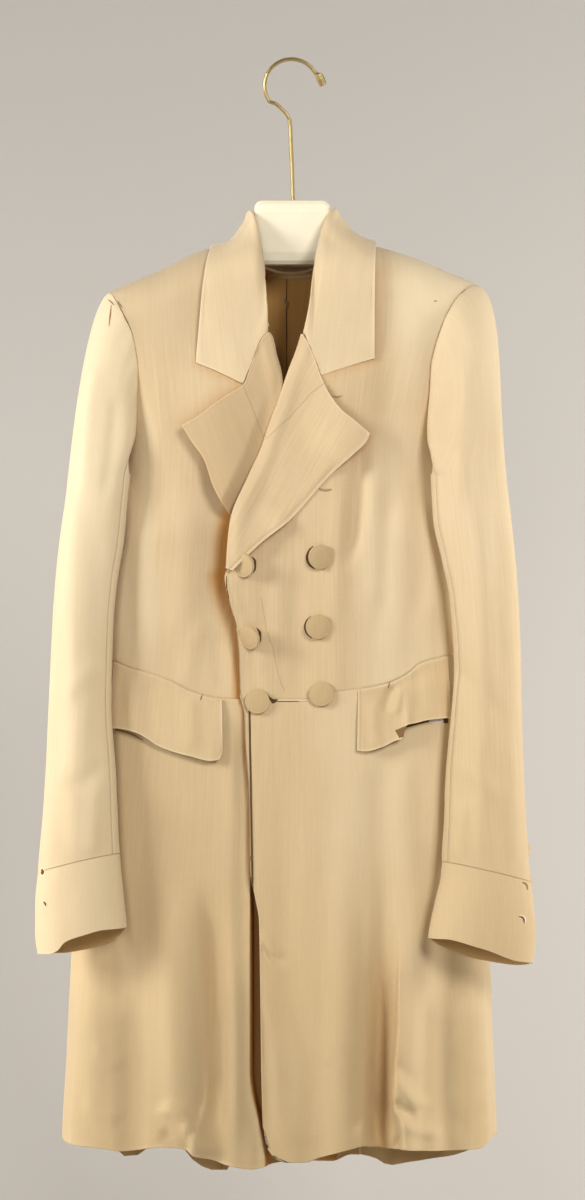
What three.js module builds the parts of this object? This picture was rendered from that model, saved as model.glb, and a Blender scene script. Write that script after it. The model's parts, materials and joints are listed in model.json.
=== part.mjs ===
// A double breasted linen frock coat on its hanger, in mm: +Z up, the front faces -Y and the origin is
// the inside top of the hanger's hook. "right" and "left" are the wearer's: right is at -X.
import * as THREE from "three";

const wall = 1.6; // thickness of the cloth pieces
const gap = 0.35; // between pieces that meet at a seam
const hang = 3; // the coat's tables are measured from this far under the origin
const roundness = 2.4; // of the body's level sections: 2 is an ellipse
const ridge = 42; // how far under the shoulder line its rounding ends
const seamBack = 0.42; // radians the shoulder seam lies behind the shoulder line
const overlap = 5; // the left front lies this far out over the right one

const linen = [0.72, 0.62, 0.47];
const ivory = [0.9, 0.86, 0.72];
const brass = [0.72, 0.58, 0.28];

const lerp = (a, b, t) => a + (b - a) * t;
const clamp = (x, a, b) => Math.min(b, Math.max(a, x));
const ramp = (x, a, b) => {
  const t = clamp((x - a) / (b - a), 0, 1);
  return t * t * (3 - 2 * t);
};
const range = (n) => Array.from({ length: n + 1 }, (_, i) => i / n);

// A smooth curve through rows of [key, value, value ...], which never overshoots them.
function smooth(rows) {
  const r = rows[0][0] < rows[rows.length - 1][0] ? rows : [...rows].reverse();
  const slope = r.map((row, i) =>
    row.map((v, c) => {
      if (!c || !i || i === r.length - 1) return 0;
      const d0 = (v - r[i - 1][c]) / (row[0] - r[i - 1][0]);
      const d1 = (r[i + 1][c] - v) / (r[i + 1][0] - row[0]);
      return d0 * d1 <= 0 ? 0 : (2 * d0 * d1) / (d0 + d1);
    }),
  );
  for (const [i, j] of [[0, 1], [r.length - 1, r.length - 2]])
    slope[i] = r[i].map((v, c) => (c ? (v - r[j][c]) / (r[i][0] - r[j][0]) : 0));
  return (key, c = 1) => {
    const k = clamp(key, r[0][0], r[r.length - 1][0]);
    let i = 0;
    while (i < r.length - 2 && k > r[i + 1][0]) i++;
    const h = r[i + 1][0] - r[i][0];
    const t = (k - r[i][0]) / h;
    return (
      (2 * t ** 3 - 3 * t ** 2 + 1) * r[i][c] + (t ** 3 - 2 * t ** 2 + t) * h * slope[i][c] +
      (3 * t ** 2 - 2 * t ** 3) * r[i + 1][c] + (t ** 3 - t ** 2) * h * slope[i + 1][c]
    );
  };
}

// A path by length, 0 to 1, through points of any size.
function path(points) {
  const at = [0];
  for (let i = 1; i < points.length; i++)
    at.push(at[i - 1] + Math.hypot(...points[i].map((v, c) => v - points[i - 1][c])));
  return (t) => {
    const d = clamp(t, 0, 1) * at[at.length - 1];
    let i = 0;
    while (i < points.length - 2 && d > at[i + 1]) i++;
    const f = (d - at[i]) / (at[i + 1] - at[i]);
    return points[i].map((v, c) => lerp(v, points[i + 1][c], f));
  };
}

// ---- The body's form ----

// height, right side x, left side x, front depth, back depth
const body = smooth([
  [-1125, -233, 210, 72, 76],
  [-1070, -230, 207, 70, 74],
  [-1000, -225, 204, 68, 70],
  [-895, -220, 200, 64, 66],
  [-800, -211, 192, 61, 61],
  [-700, -200, 184, 58, 55],
  [-600, -189, 176, 56, 50],
  [-500, -182, 171, 59, 52],
  [-430, -175, 167, 62, 55],
  [-390, -173, 166, 63, 57],
  [-330, -180, 178, 63, 58],
  [-260, -190, 195, 60, 56],
  [-120, -190, 195, 60, 56],
]);

// x, height of the shoulder line
const shoulder = smooth([
  [-260, -258], [-192, -234.5], [-184, -230.5], [-179, -227.5], [-158, -217.6], [-132, -207.5],
  [-112, -197.6], [-92, -189.5], [-80, -186.5], [-65, -183], [-50, -178.5], [-30, -172.5], [0, -169],
  [30, -170.5], [50, -175], [64, -178.5], [76, -181], [86, -183.5], [101.7, -188], [129, -197.5],
  [153, -207.5], [180, -217.8], [190, -224], [198, -229.5], [260, -259],
]);

// Folds of the skirts: x at the waist, x at the hem, depth, half width, height where it starts, and is full
const frontFolds = [
  [-88, -76, -9, 24, -780, -1060],
  [-118, -112, 5, 26, -780, -1060],
  [-160, -158, -5, 22, -820, -1070],
  [98, 86, -18, 16, -780, -1040],
  [126, 112, 8, 20, -780, -1000],
  [60, 52, 4, 26, -700, -1000],
  [10, 22, -4, 24, -760, -1060],
  [164, 160, -5, 20, -780, -1060],
];
const backFolds = [
  [-104, -104, -12, 20, -640, -1000],
  [-150, -156, 10, 22, -640, -1000],
  [106, 100, -14, 20, -640, -1000],
  [148, 146, 10, 22, -640, -1000],
  [-62, -70, 8, 16, -640, -1000],
  [60, 66, 8, 16, -640, -1000],
];
function folds(x, z, front) {
  let sum = 0;
  for (const [x0, x1, depth, half, from, full] of front ? frontFolds : backFolds) {
    const d = Math.abs(x - lerp(x0, x1, clamp((z + 640) / -460, 0, 1))) / half;
    if (d < 1) sum += depth * (0.5 + 0.5 * Math.cos(Math.PI * d)) * ramp(z, from, full);
  }
  return sum;
}
const over = (x, z) => overlap * ramp(x, 120, 44) * ramp(z, -285, -325);
const tuckedUnder = (x, z) => -20 * ramp(x, -41, -30) * ramp(z, -770, -860);

// The angle round the body at x: the left side is 0, the front pi/2, the right side pi.
function angleOf(x, w, front = true) {
  const c = (body(w, 1) + body(w, 2)) / 2;
  const t = clamp((x - c) / (body(w, 2) - c), -1, 1);
  const a = Math.acos(Math.sign(t) * Math.abs(t) ** (roundness / 2));
  return front ? a : 2 * Math.PI - a;
}
// A point of the form at an angle and a height, which runs on over the shoulder as an arc.
// The front hangs flatter than the rest wherever no sleeve lies against it.
const sleeveSideRight = smooth([  // height, x of the sleeve's inner side
  [-900, -160], [-870, -163], [-840, -166], [-810, -169], [-760, -172], [-720, -173.5], [-640, -178],
  [-560, -176], [-518, -172.5], [-483, -167.5], [-437, -163.5], [-410, -160.5],
]);
const sleeveSideLeft = smooth([
  [-905, 134], [-870, 138], [-840, 144], [-815, 149], [-760, 152.5], [-720, 153.6], [-640, 159],
  [-590, 161], [-540, 158], [-500, 150], [-460, 141.5], [-410, 139],
]);
function flatter(x, w) {
  const c = (body(w, 1) + body(w, 2)) / 2;
  const u = Math.min(1, Math.abs((x - c) / (body(w, 2) - c)));
  const limit = x < 0 ? -sleeveSideRight(w, 1) : sleeveSideLeft(w, 1);
  const clear = lerp(1 - ramp(Math.abs(x), limit - 6, limit + 14), 1, ramp(w, -905, -960));
  const more = (1 - u ** 4) ** 0.25 - (1 - u ** roundness) ** (1 / roundness);
  return body(w, 3) * more * clear * ramp(w, -428, -480) * (1 - ramp(u, 0.95, 1));
}
function form(angle, w) {
  const c = (body(w, 1) + body(w, 2)) / 2;
  const C = Math.cos(angle);
  const S = Math.sin(angle);
  const x = c + (body(w, 2) - c) * Math.sign(C) * Math.abs(C) ** (2 / roundness);
  const top = shoulder(x) - ridge;
  const turn = Math.max(0, (w - top) / ridge);
  const z = turn ? top + ridge * Math.sin(turn) : w;
  const back = S < 0 !== Math.cos(turn) < 0;
  const depth = body(w, back ? 4 : 3) * Math.abs(S) ** (2 / roundness) * Math.abs(Math.cos(turn))
    + (back ? 0 : flatter(x, w));
  return new THREE.Vector3(x, back ? depth : -depth, z - hang);
}
function formNormal(angle, w) {
  const e = 0.004;
  const a = form(angle + e, w).sub(form(angle - e, w));
  const b = form(angle, w + 0.4).sub(form(angle, w - 0.4));
  return b.cross(a).normalize();
}
// Moved out of the form by off.
const skin = (angle, w, off) => form(angle, w).addScaledVector(formNormal(angle, w), off);
// The height on the form for a real height under the shoulder line at x, and where the line itself is.
const heightOf = (x, z) => {
  const t = (z - shoulder(x) + ridge) / ridge;
  return t <= 0 ? z : shoulder(x) - ridge + ridge * Math.asin(clamp(t, 0, 1));
};
const topOf = (x) => shoulder(x) - ridge + (ridge * Math.PI) / 2;
const front = (x, z, off) => skin(angleOf(x, z), heightOf(x, z), off);

// ---- Solids ----

const group = new THREE.Group();
function add(name, points, faces, colour, rough = 0.85) {
  let volume = 0;
  for (const [a, b, c] of faces) volume += points[a].dot(points[b].clone().cross(points[c]));
  const flat = [];
  for (const [a, b, c] of faces)
    for (const i of volume < 0 ? [a, c, b] : [a, b, c]) flat.push(points[i].x, points[i].y, points[i].z);
  const geometry = new THREE.BufferGeometry();
  geometry.setAttribute("position", new THREE.Float32BufferAttribute(flat, 3));
  geometry.computeVertexNormals();
  const material = new THREE.MeshStandardMaterial({
    color: new THREE.Color(...colour),
    roughness: rough,
    metalness: colour === brass ? 1 : 0,
  });
  const mesh = new THREE.Mesh(geometry, material);
  mesh.name = name;
  group.add(mesh);
}

// A closed cloth wall between two grids of points, outer[row][column] and inner[row][column].
function cloth(name, outer, inner) {
  const rows = outer.length;
  const cols = outer[0].length;
  const points = [...outer.flat(), ...inner.flat()];
  const id = (i, j, k) => k * rows * cols + i * cols + j;
  const faces = [];
  const quad = (a, b, c, d) => faces.push([a, b, c], [a, c, d]);
  for (let i = 0; i < rows - 1; i++)
    for (let j = 0; j < cols - 1; j++) {
      quad(id(i, j, 0), id(i, j + 1, 0), id(i + 1, j + 1, 0), id(i + 1, j, 0));
      faces.push([id(i, j, 1), id(i + 1, j + 1, 1), id(i, j + 1, 1)]);
      faces.push([id(i, j, 1), id(i + 1, j, 1), id(i + 1, j + 1, 1)]);
    }
  for (let j = 0; j < cols - 1; j++) {
    quad(id(0, j, 0), id(0, j, 1), id(0, j + 1, 1), id(0, j + 1, 0));
    quad(id(rows - 1, j, 0), id(rows - 1, j + 1, 0), id(rows - 1, j + 1, 1), id(rows - 1, j, 1));
  }
  for (let i = 0; i < rows - 1; i++) {
    quad(id(i, 0, 0), id(i + 1, 0, 0), id(i + 1, 0, 1), id(i, 0, 1));
    quad(id(i, cols - 1, 0), id(i, cols - 1, 1), id(i + 1, cols - 1, 1), id(i + 1, cols - 1, 0));
  }
  add(name, points, faces, linen);
}
// Draws the edges of a grid in: first row, last row, first column, last column.
function inset(grid, [r0, r1, c0, c1]) {
  const pull = (p, q, d) => p.addScaledVector(q.clone().sub(p).normalize(), d);
  const r = grid.length - 1;
  const c = grid[0].length - 1;
  grid[0].forEach((p, j) => r0 && pull(p, grid[1][j], r0));
  grid[r].forEach((p, j) => r1 && pull(p, grid[r - 1][j], r1));
  grid.forEach((row) => c0 && pull(row[0], row[1], c0));
  grid.forEach((row) => c1 && pull(row[c], row[c - 1], c1));
  return grid;
}
// A wall on the form from cells [angle, height, offset of the outer face].
function onForm(name, cells, edges = [0, 0, 0, 0]) {
  cloth(
    name,
    inset(cells.map((row) => row.map(([a, w, off]) => skin(a, w, off))), edges),
    inset(cells.map((row) => row.map(([a, w, off]) => skin(a, w, off - wall))), edges),
  );
}
// A wall from its middle surface, moved both ways along its own normals; out is a point it faces away from.
function fromMiddle(name, grid) {
  const last = (list) => list.length - 1;
  const move = (way) =>
    grid.map((row, i) =>
      row.map((p, j) => {
        const u = grid[Math.min(i + 1, last(grid))][j].clone().sub(grid[Math.max(i - 1, 0)][j]);
        const v = row[Math.min(j + 1, last(row))].clone().sub(row[Math.max(j - 1, 0)]);
        return p.clone().addScaledVector(u.cross(v).normalize(), (way * wall) / 2);
      }),
    );
  cloth(name, move(1), move(-1));
}

// The inner face of a tube from its outer one: each point moved in by the wall. Rows go down the tube.
function inwards(grid, closed) {
  const rows = grid.length - 1;
  const n = grid[0].length;
  return grid.map((row, i) => {
    const c = new THREE.Vector3();
    row.forEach((p) => c.addScaledVector(p, 1 / n));
    return row.map((p, j) => {
      const u = grid[Math.min(i + 1, rows)][j].clone().sub(grid[Math.max(i - 1, 0)][j]);
      const after = closed ? (j + 1) % n : Math.min(j + 1, n - 1);
      const before = closed ? (j + n - 1) % n : Math.max(j - 1, 0);
      const normal = u.cross(row[after].clone().sub(row[before])).normalize();
      if (normal.dot(c.clone().sub(p)) < 0) normal.negate();
      return p.clone().addScaledVector(normal, wall);
    });
  });
}

// ---- Seams and edges of the body ----

// x, height of the waist seam on the front
const waistFront = smooth([
  [-200, -594], [-177, -600.7], [-161, -607], [-140, -613], [-119, -620.8], [-96, -631.7], [-70, -638],
  [-51, -639], [14, -639], [39, -632], [66, -629], [85, -625.4], [97, -622.4], [116, -613], [129, -603],
  [146, -598], [159, -595], [190, -592],
]);
const waist = (angle) => {
  const x = form(angle, -610).x;
  return Math.sin(angle) > 0 ? waistFront(x) : waistFront(Math.sign(x) * 190) + 4;
};
// x, height of the front hem; the right front's runs on under the left's
const hemRight = smooth([
  [-236, -1077], [-233, -1079], [-226, -1083], [-183, -1088], [-170, -1089.6], [-126, -1085], [-104, -1088],
  [-97, -1094], [-78, -1098], [-64, -1103], [-39, -1107], [-11, -1101], [46, -1098],
]);
const hemLeft = smooth([
  [-30, -1060], [-28, -1066], [-24, -1086], [-15, -1096.5], [-7, -1100], [15, -1100], [29, -1095], [63, -1086],
  [72, -1084], [81, -1085], [105, -1087], [150, -1089], [188, -1088], [204, -1077], [210, -1075],
]);
// x, height of the back hem
const hemBack = smooth([
  [-236, -1080], [-222, -1088], [-200, -1094], [-178, -1098], [-168, -1106], [-152, -1106], [-144, -1098],
  [-110, -1097], [-100, -1110], [-92, -1116], [-82, -1121], [-66, -1122], [-60, -1114], [-30, -1112], [0, -1111], [42, -1112], [60, -1106], [80, -1107], [104, -1114], [120, -1112], [152, -1107],
  [180, -1101], [197, -1091], [210, -1078],
]);
// height, x where the back meets the side body and the skirt
const sideBack = smooth([
  [-1125, 70], [-1000, 64], [-700, 54], [-600, 50], [-520, 78], [-450, 116], [-384, 140], [-360, 144],
]);
const sideSeam = 0.27; // radians before the side where forepart and side body meet
const underarm = -386; // height of the armhole there

// Front armholes and front edges by height on the form: x
const armRight = smooth([
  [-392, -171], [-386, -167], [-368, -157], [-340, -154], [-309, -152], [-276, -158], [-249, -170],
  [-227, -179], [-209, -182.5], [-180, -183],
]);
const armLeft = smooth([
  [-392, 164], [-386, 158], [-368, 143], [-340, 138], [-309, 139], [-285, 144], [-262, 152],
  [-240, 164], [-222, 178], [-203, 189], [-180, 190],
]);
const armBackRight = smooth([
  [-392, -140], [-386, -140], [-360, -141], [-330, -144], [-290, -150], [-262, -158], [-240, -168],
  [-222, -177], [-195, -183],
]);
const armBackLeft = smooth([
  [-392, 140], [-386, 140], [-360, 140], [-330, 142], [-290, 149], [-262, 159], [-240, 170],
  [-222, 180], [-195, 190],
]);
const edgeRight = smooth([
  [-645, 46], [-480, 44], [-420, 29], [-370, 9], [-334, -8.6], [-311, -12], [-295, -16.6], [-276, -21],
  [-268, -25], [-255, -31], [-230, -38], [-202, -45], [-150, -51], [-120, -51],
]);
const edgeLeft = smooth([
  [-645, -50.4], [-595, -51.8], [-570, -54.2], [-538, -62], [-515, -66], [-508, -62.4], [-485, -61],
  [-460, -57.5], [-417, -40.5], [-386, -27], [-370, -21.7], [-334, -8.6], [-311, -0.4], [-286, 8.5],
  [-272, 13], [-258, 22], [-230, 32], [-202, 41], [-150, 51], [-120, 51],
]);
const skirtEdgeLeft = smooth([
  [-1102, -8], [-1097, -15], [-1087, -24.2], [-1065, -28], [-1003, -29.6], [-931, -30.5], [-860, -31.8],
  [-835, -36], [-810, -40.6], [-740, -41.5], [-680, -45.6], [-651, -46.6], [-637, -50.6],
]);

// Rows up the body are shared by its pieces: hem to waist seam, waist seam to underarm, underarm to shoulder.
const skirtRows = 9;
const bodiceRows = 6;
const yokeRows = 9;
const frontCols = 18;
const sideCols = 6;
const backCols = 7;
const half = gap / 2;
const shoulderEnd = (x) => topOf(x) + ridge * seamBack;
// The back's neckline: distance from the middle, share of the way down from the shoulder seam
const neckline = smooth([[0, 1], [14, 0.96], [28, 0.8], [40, 0.48], [47, 0.2], [51, 0]]);
const backEnd = (x) => {
  const half = Math.sign(x) * Math.max(51, Math.abs(x));
  return lerp(topOf(half) - ridge * seamBack, -209, neckline(Math.abs(x)));
};
const armFoot = (t) => underarm - 7 * Math.sin(Math.PI * t);

const loops = {};
for (const side of ["right", "left"]) {
  const s = side === "right" ? -1 : 1;
  const arm = side === "right" ? armRight : armLeft;
  const armBack = side === "right" ? armBackRight : armBackLeft;
  const edge = side === "right" ? edgeRight : edgeLeft;
  const lift = side === "right" ? () => 0 : over;
  const seamAngle = side === "right" ? Math.PI - sideSeam : sideSeam;
  const backAngle = (w) => angleOf(s * sideBack(w), w, false) - (side === "right" ? 0 : 2 * Math.PI);
  const settle = (start, rule) => {
    let a = start;
    for (let i = 0; i < 16; i++) a = rule(a);
    return a;
  };

  // Forepart: rows run from the waist seam to the shoulder seam, columns from the front edge to the side.
  const foreRow = (a, i) => (i <= bodiceRows ? lerp(waist(a), underarm, i / bodiceRows)
    : lerp(underarm, shoulderEnd(form(a, -230).x), (i - bodiceRows) / yokeRows));
  const fore = [];
  for (let i = 0; i <= bodiceRows + yokeRows; i++) {
    const a0 = settle(Math.PI / 2, (a) => angleOf(edge(foreRow(a, i)), foreRow(a, i)));
    const a1 = i <= bodiceRows ? seamAngle : settle(seamAngle, (a) => angleOf(arm(foreRow(a, i)), foreRow(a, i)));
    fore.push(range(frontCols).map((t) => {
      const a = lerp(a0, a1, t);
      const w = foreRow(a, i);
      return [a, w, lift(form(a, w).x, w)];
    }));
  }
  onForm("forepart_" + side, fore, [half, 0.4, 0, half]);

  // Side body, from the waist seam to the bottom of the armhole.
  const sideCells = range(bodiceRows).map((v) =>
    range(sideCols).map((t) => {
      const end = settle(backAngle(-500), (a) => backAngle(lerp(waist(a), underarm, v)));
      const a = lerp(seamAngle, end, t);
      return [a, lerp(waist(a), armFoot(t), v), 0];
    }),
  );
  onForm("side_body_" + side, sideCells, [half, 0, half, half]);

  // Back and back skirt in one, from the hem to the shoulder seam and the neck.
  const waistBack = waist(backAngle(-600));
  const backRow = (x, i) => {
    if (i <= skirtRows) return lerp(hemBack(x), waistBack, i / skirtRows);
    if (i <= skirtRows + bodiceRows) return lerp(waistBack, underarm, (i - skirtRows) / bodiceRows);
    return lerp(underarm, backEnd(x), (i - skirtRows - bodiceRows) / yokeRows);
  };
  const back = [];
  for (let i = 0; i <= skirtRows + bodiceRows + yokeRows; i++) {
    const x1 = settle(s * 100, (x) => {
      const w = backRow(x, i);
      return i <= skirtRows + bodiceRows ? s * sideBack(w) : armBack(w);
    });
    back.push(range(backCols).map((t) => {
      const x = lerp(-4, x1, t);
      const w = backRow(x, i);
      return [angleOf(x, w, false), w, folds(x, w, false)];
    }));
  }
  onForm("back_" + side, back, [0, 0.4, half, half]);

  // Skirt: from the hem to the waist seam, and from the front edge round the side to the back skirt.
  const hemFront = side === "right" ? hemRight : hemLeft;
  const hem = (a) => (Math.sin(a) > 0 ? hemFront : hemBack)(form(a, -1090).x);
  const frontX = (w) => (side === "right" ? 46 : skirtEdgeLeft(w));
  const skirtCells = range(skirtRows).map((v) => {
    const rowAt = (a) => lerp(hem(a), waist(a), v);
    const a0 = settle(Math.PI / 2, (a) => angleOf(frontX(rowAt(a)), rowAt(a)));
    const a2 = settle(backAngle(-900), (a) => backAngle(rowAt(a)));
    return range(frontCols + sideCols).map((t) => {
      const j = t * (frontCols + sideCols);
      const a = j <= frontCols ? lerp(a0, seamAngle, j / frontCols) : lerp(seamAngle, a2, (j - frontCols) / sideCols);
      const w = rowAt(a);
      const x = form(a, w).x;
      const out = Math.min(1, Math.abs(Math.sin(a)) * 3) * folds(x, w, Math.sin(a) > 0);
      return [a, w, out + (side === "right" ? tuckedUnder(x, w) : over(x, w))];
    });
  });
  onForm("skirt_" + side, skirtCells, [0, half, 0, half]);

  // The armhole, from the shoulder seam down the front, under the arm and up the back.
  loops[side] = [
    ...fore.slice(bodiceRows).map((row) => row[frontCols]).reverse(),
    ...sideCells[bodiceRows].slice(1, -1),
    ...back.slice(skirtRows + bodiceRows, -1).map((row) => row[backCols]),
  ].map(([a, w]) => form(a, w));
}

// ---- Sleeves and cuffs ----

// height, outer x, inner x, middle y, half depth
const sleeveForm = {
  right: smooth([
    [-900, -248, -160, -76, 31], [-870, -252, -163, -76, 31], [-840, -253, -166, -74, 31],
    [-810, -252, -169, -72, 30], [-760, -247, -172, -67, 29], [-720, -245, -173.5, -64, 29],
    [-640, -242, -178, -59, 28], [-560, -238, -176, -56, 28], [-518, -235, -172.5, -54, 28],
    [-483, -231.5, -167.5, -51, 28], [-437, -225.5, -163.5, -47, 28], [-410, -223, -160.5, -44, 28],
  ]),
  left: smooth([
    [-905, 236, 134, -80, 31], [-870, 239, 138, -79, 31], [-840, 239, 144, -77, 31],
    [-815, 238, 149, -75, 30], [-760, 234, 152.5, -70, 29], [-720, 232, 153.6, -67, 29],
    [-640, 229.5, 159, -62, 28], [-590, 228.5, 161, -61, 27], [-540, 226, 158, -61, 26],
    [-500, 223, 150, -61, 26], [-460, 219, 141.5, -61, 26], [-410, 214, 139, -60, 26],
  ]),
};
const ring = (side, phi, z) => {
  const f = sleeveForm[side];
  const out = f(z, 1);
  const inn = f(z, 2);
  return new THREE.Vector3(
    (out + inn) / 2 + ((out - inn) / 2) * Math.cos(phi),
    f(z, 3) - f(z, 4) * Math.sin(phi),
    z - hang,
  );
};
const headFoot = -415; // height where the sleeve is a plain tube
const cuffSeam = {
  right: (p) => -802 - 9.5 * Math.cos(p) + 3 * Math.sin(p),
  left: (p) => -810.5 - 10 * Math.cos(p) + 3 * Math.sin(p),
};
const cuffEnd = {
  right: (p) => -880 - 12 * Math.cos(p) + 9.5 * Math.sin(p),
  left: (p) => -888 - 11 * Math.cos(p) + 7 * Math.sin(p),
};
const vent = -0.12; // radians behind the outer edge
for (const side of ["right", "left"]) {
  const s = side === "right" ? -1 : 1;
  const n = loops[side].length;
  const mid = new THREE.Vector3();
  loops[side].forEach((p) => mid.addScaledVector(p, 1 / n));
  const start = loops[side].map((p) =>
    p.clone().addScaledVector(mid.clone().sub(p).normalize(), p.z > mid.z ? 0.9 : 1.6));
  const phis = start.map((p) => Math.atan2(-(p.y + 2) / 44, (p.z + hang + 318) / 80));
  for (let i = 1; i < n; i++) while (phis[i] < phis[i - 1] - 1) phis[i] += 2 * Math.PI;
  const point = (j, r) => {
    const phi = phis[j];
    if (r >= 1) return ring(side, phi, lerp(headFoot, cuffSeam[side](phi), r - 1));
    const p0 = start[j];
    const p3 = ring(side, phi, headFoot);
    const up = (1 + Math.cos(phi)) / 2; // 1 at the top of the armhole, 0 under the arm
    const forward = 14 * Math.sin(phi) * (0.5 + 0.5 * up) + 20 * (1 - up) ** 3 * ramp(Math.sin(phi), -0.6, 0.1);
    const out = (s < 0 ? 21 : 26) * up ** 1.2 + 9 * ramp(Math.sin(phi), 0.3, -0.3) * (1 - up);
    const p1 = p0.clone().add(new THREE.Vector3(s * out, -forward, -8 - 4 * up));
    const drop = (p0.z - p3.z) * 0.42;
    const p2 = p3.clone().addScaledVector(ring(side, phi, headFoot - 30).sub(p3), -drop / 30);
    p2.x += s * 17 * (1 - up) ** 2 * ramp(Math.sin(phi), 0.35, -0.25);
    const q = 1 - r;
    return p0.clone().multiplyScalar(q ** 3).addScaledVector(p1, 3 * q * q * r)
      .addScaledVector(p2, 3 * q * r * r).addScaledVector(p3, r ** 3);
  };
  const rows = [0, 0.12, 0.28, 0.48, 0.72, ...range(10).map((t) => 1 + t)];
  const outer = rows.map((r) => loops[side].map((_, j) => point(j, r)));
  const inner = inwards(outer, true);
  // The two seams of a two piece sleeve: behind the outer edge and at the inner edge.
  const seamFront = phis.findIndex((p) => p > 2.5);
  const cut = (name, from, to) => {
    const part = (grid) => inset(
      grid.map((row) => range(to - from).map((t) => row[Math.round(from + t * (to - from)) % n].clone())),
      [0, half, half, half],
    );
    cloth(name + side, part(outer), part(inner));
  };
  cut("top_sleeve_", 0, seamFront);
  cut("under_sleeve_", seamFront, n);

  // The cuff goes on down from the sleeve, open along the vent.
  const cuffCols = range(20).map((t) => vent + 0.05 + t * (2 * Math.PI - 0.1));
  const cuffOuter = range(2).map((t) =>
    cuffCols.map((phi) => ring(side, phi, lerp(cuffSeam[side](phi) - 0.9, cuffEnd[side](phi), t))),
  );
  cloth("cuff_" + side, cuffOuter, inwards(cuffOuter, false));
}

// ---- Lapels ----

const coons = (top, bottom, inner, outer) => (s, t) =>
  [0, 1].map((c) => {
    const a = inner(s)[c];
    const b = outer(s)[c];
    const corner = lerp(lerp(inner(0)[c], outer(0)[c], t), lerp(inner(1)[c], outer(1)[c], t), s);
    return lerp(a, b, t) + lerp(top(t)[c], bottom(t)[c], s) - corner;
  });
const lapels = {
  right: {
    top: [[-23, -273], [-30, -281], [-40.5, -308], [-47, -325], [-63, -336], [-76, -345], [-88, -355], [-105.6, -366]],
    inner: [[-23, -273], [-20, -277], [-16, -295], [-11.6, -311], [-8.2, -334], [9.4, -370], [29, -420], [43, -478], [45, -508]],
    outer: [[-105.6, -366], [-97, -381], [-84, -401], [-76, -425.6], [-57.5, -460], [-20, -495], [40, -516]],
    bottom: [[45, -508], [40, -516]],
    notch: 0.55,
    base: () => 0.7 + wall,
  },
  left: {
    top: [[11.6, -275], [17.6, -285], [22, -295], [29.5, -317], [37, -333], [49.7, -350.7], [60.4, -359.6], [76.8, -374]],
    inner: [[11.6, -275], [8.1, -287], [-0.8, -311], [-8.8, -334.6], [-22, -370], [-27, -386], [-41, -417], [-58, -460],
      [-61.4, -485], [-62.8, -508]],
    outer: [[76.8, -374], [73.4, -382], [59.6, -395.8], [39, -415], [-1.3, -460], [-27.7, -480.7], [-42.6, -494.5], [-58, -510]],
    bottom: [[-62.8, -508], [-58, -510]],
    notch: 0.44,
    base: (x, z) => over(x, z) + 1 + wall,
  },
};
for (const side of ["right", "left"]) {
  const l = lapels[side];
  const patch = coons(path(l.top), path(l.bottom), path(l.inner), path(l.outer));
  // How far the lapel lifts off the front: most along its free edge, and at its foot over the top button.
  const lift = (s, t, x) => {
    const free = ramp(t, 0.35, 1) * (1 - ramp(s, 0.55, 1));
    return side === "right" ? 4 * free * ramp(x, -52, -80) : 5 * free + 8.6 * ramp(s, 0.62, 0.86);
  };
  const across = [...range(4).map((t) => t * l.notch), ...range(5).slice(1).map((t) => lerp(l.notch, 1, t))];
  const rows = range(11).map((s) =>
    across.map((t) => {
      const [x, z] = patch(s, t);
      return [angleOf(x, z), heightOf(x, z), l.base(x, z) + lift(s, t, x)];
    }),
  );
  onForm("lapel_" + side, rows, [0.3, 0, 0.5, 0]);
}

// ---- Collar ----

// Along the collar from the right gorge over the shoulder, round the back and down to the left gorge:
// place, fold x y z, neck seam (height on the front, x on the back), outer edge x y z (y on the form in front).
const collarAt = smooth([
  [0, -22.8, -66, -271, -266, -94, 0, -303],
  [1, -23.8, -64, -250, -250, -94, 0, -284],
  [2, -25.3, -59, -229, -232, -90.5, 0, -254],
  [3, -27.2, -50, -202, -212, -87.5, 0, -225],
  [4, -30, -38, -181, -190, -84, 0, -206],
  [5, -34, -27, -162, -172, -81.5, 0, -195],
  [6, -39.5, -14, -149, -156, -79.5, 0, -188],
  [7, -42.5, 4, -147, -47, -79, 34, -187],
  [8, -39, 24, -150, -40, -74, 60, -202],
  [9, -24, 38, -153, -24, -50, 64, -220],
  [10, 0, 42, -154, 0, 0, 66, -228],
  [11, 26, 38, -152, 24, 52, 64, -219],
  [12, 41, 24, -149, 40, 78, 60, -199],
  [13, 45, 4, -145, 47, 84.5, 34, -183.5],
  [14, 41.5, -14, -147, -152, 85, 0, -183],
  [15, 35, -28, -157, -170, 84, 0, -190],
  [16, 30, -38, -172, -188, 83.4, 0, -201],
  [17, 25.6, -50, -192, -206, 83, 0, -220],
  [18, 23, -58, -215, -226, 83, 0, -246],
  [19, 19, -65, -245, -246, 82.8, 0, -275],
  [20, 12, -67, -273, -264, 82.8, 0, -299],
]);
const neckRow = (k) => {
  const v = collarAt(k, 4);
  const s = k < 10 ? -1 : 1;
  const edge = s < 0 ? edgeRight : edgeLeft;
  const p = k < 6.5 || k > 13.5 ? skin(angleOf(edge(v) - s * 4.2, v), v, -wall / 2)
    : skin(angleOf(v, -200, false), backEnd(v) + 2.4, -wall / 2);
  return [k, p.x, p.y, p.z];
};
const neckAt = smooth(range(20).map((t) => neckRow(t * 20)));
// How the fall bows out of the straight line from its fold to its edge: place, x, y, z
const bendAt = smooth([
  [0, 0, -7, 1], [3, 0, -13, 3], [4, 1, -10, -2], [5, 6, -6, -9], [6, 13.5, 0, -15.5], [7, 9, -2, -10],
  [8, 0, 7, 3], [10, 0, 12, 6], [12, 0, 7, 3], [13, -4, -2, -7], [14, -3, 0, -9], [15, -1, -6, -7],
  [16, 0, -10, -2], [17, 0, -13, 3], [20, 0, -7, 1],
]);
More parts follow.
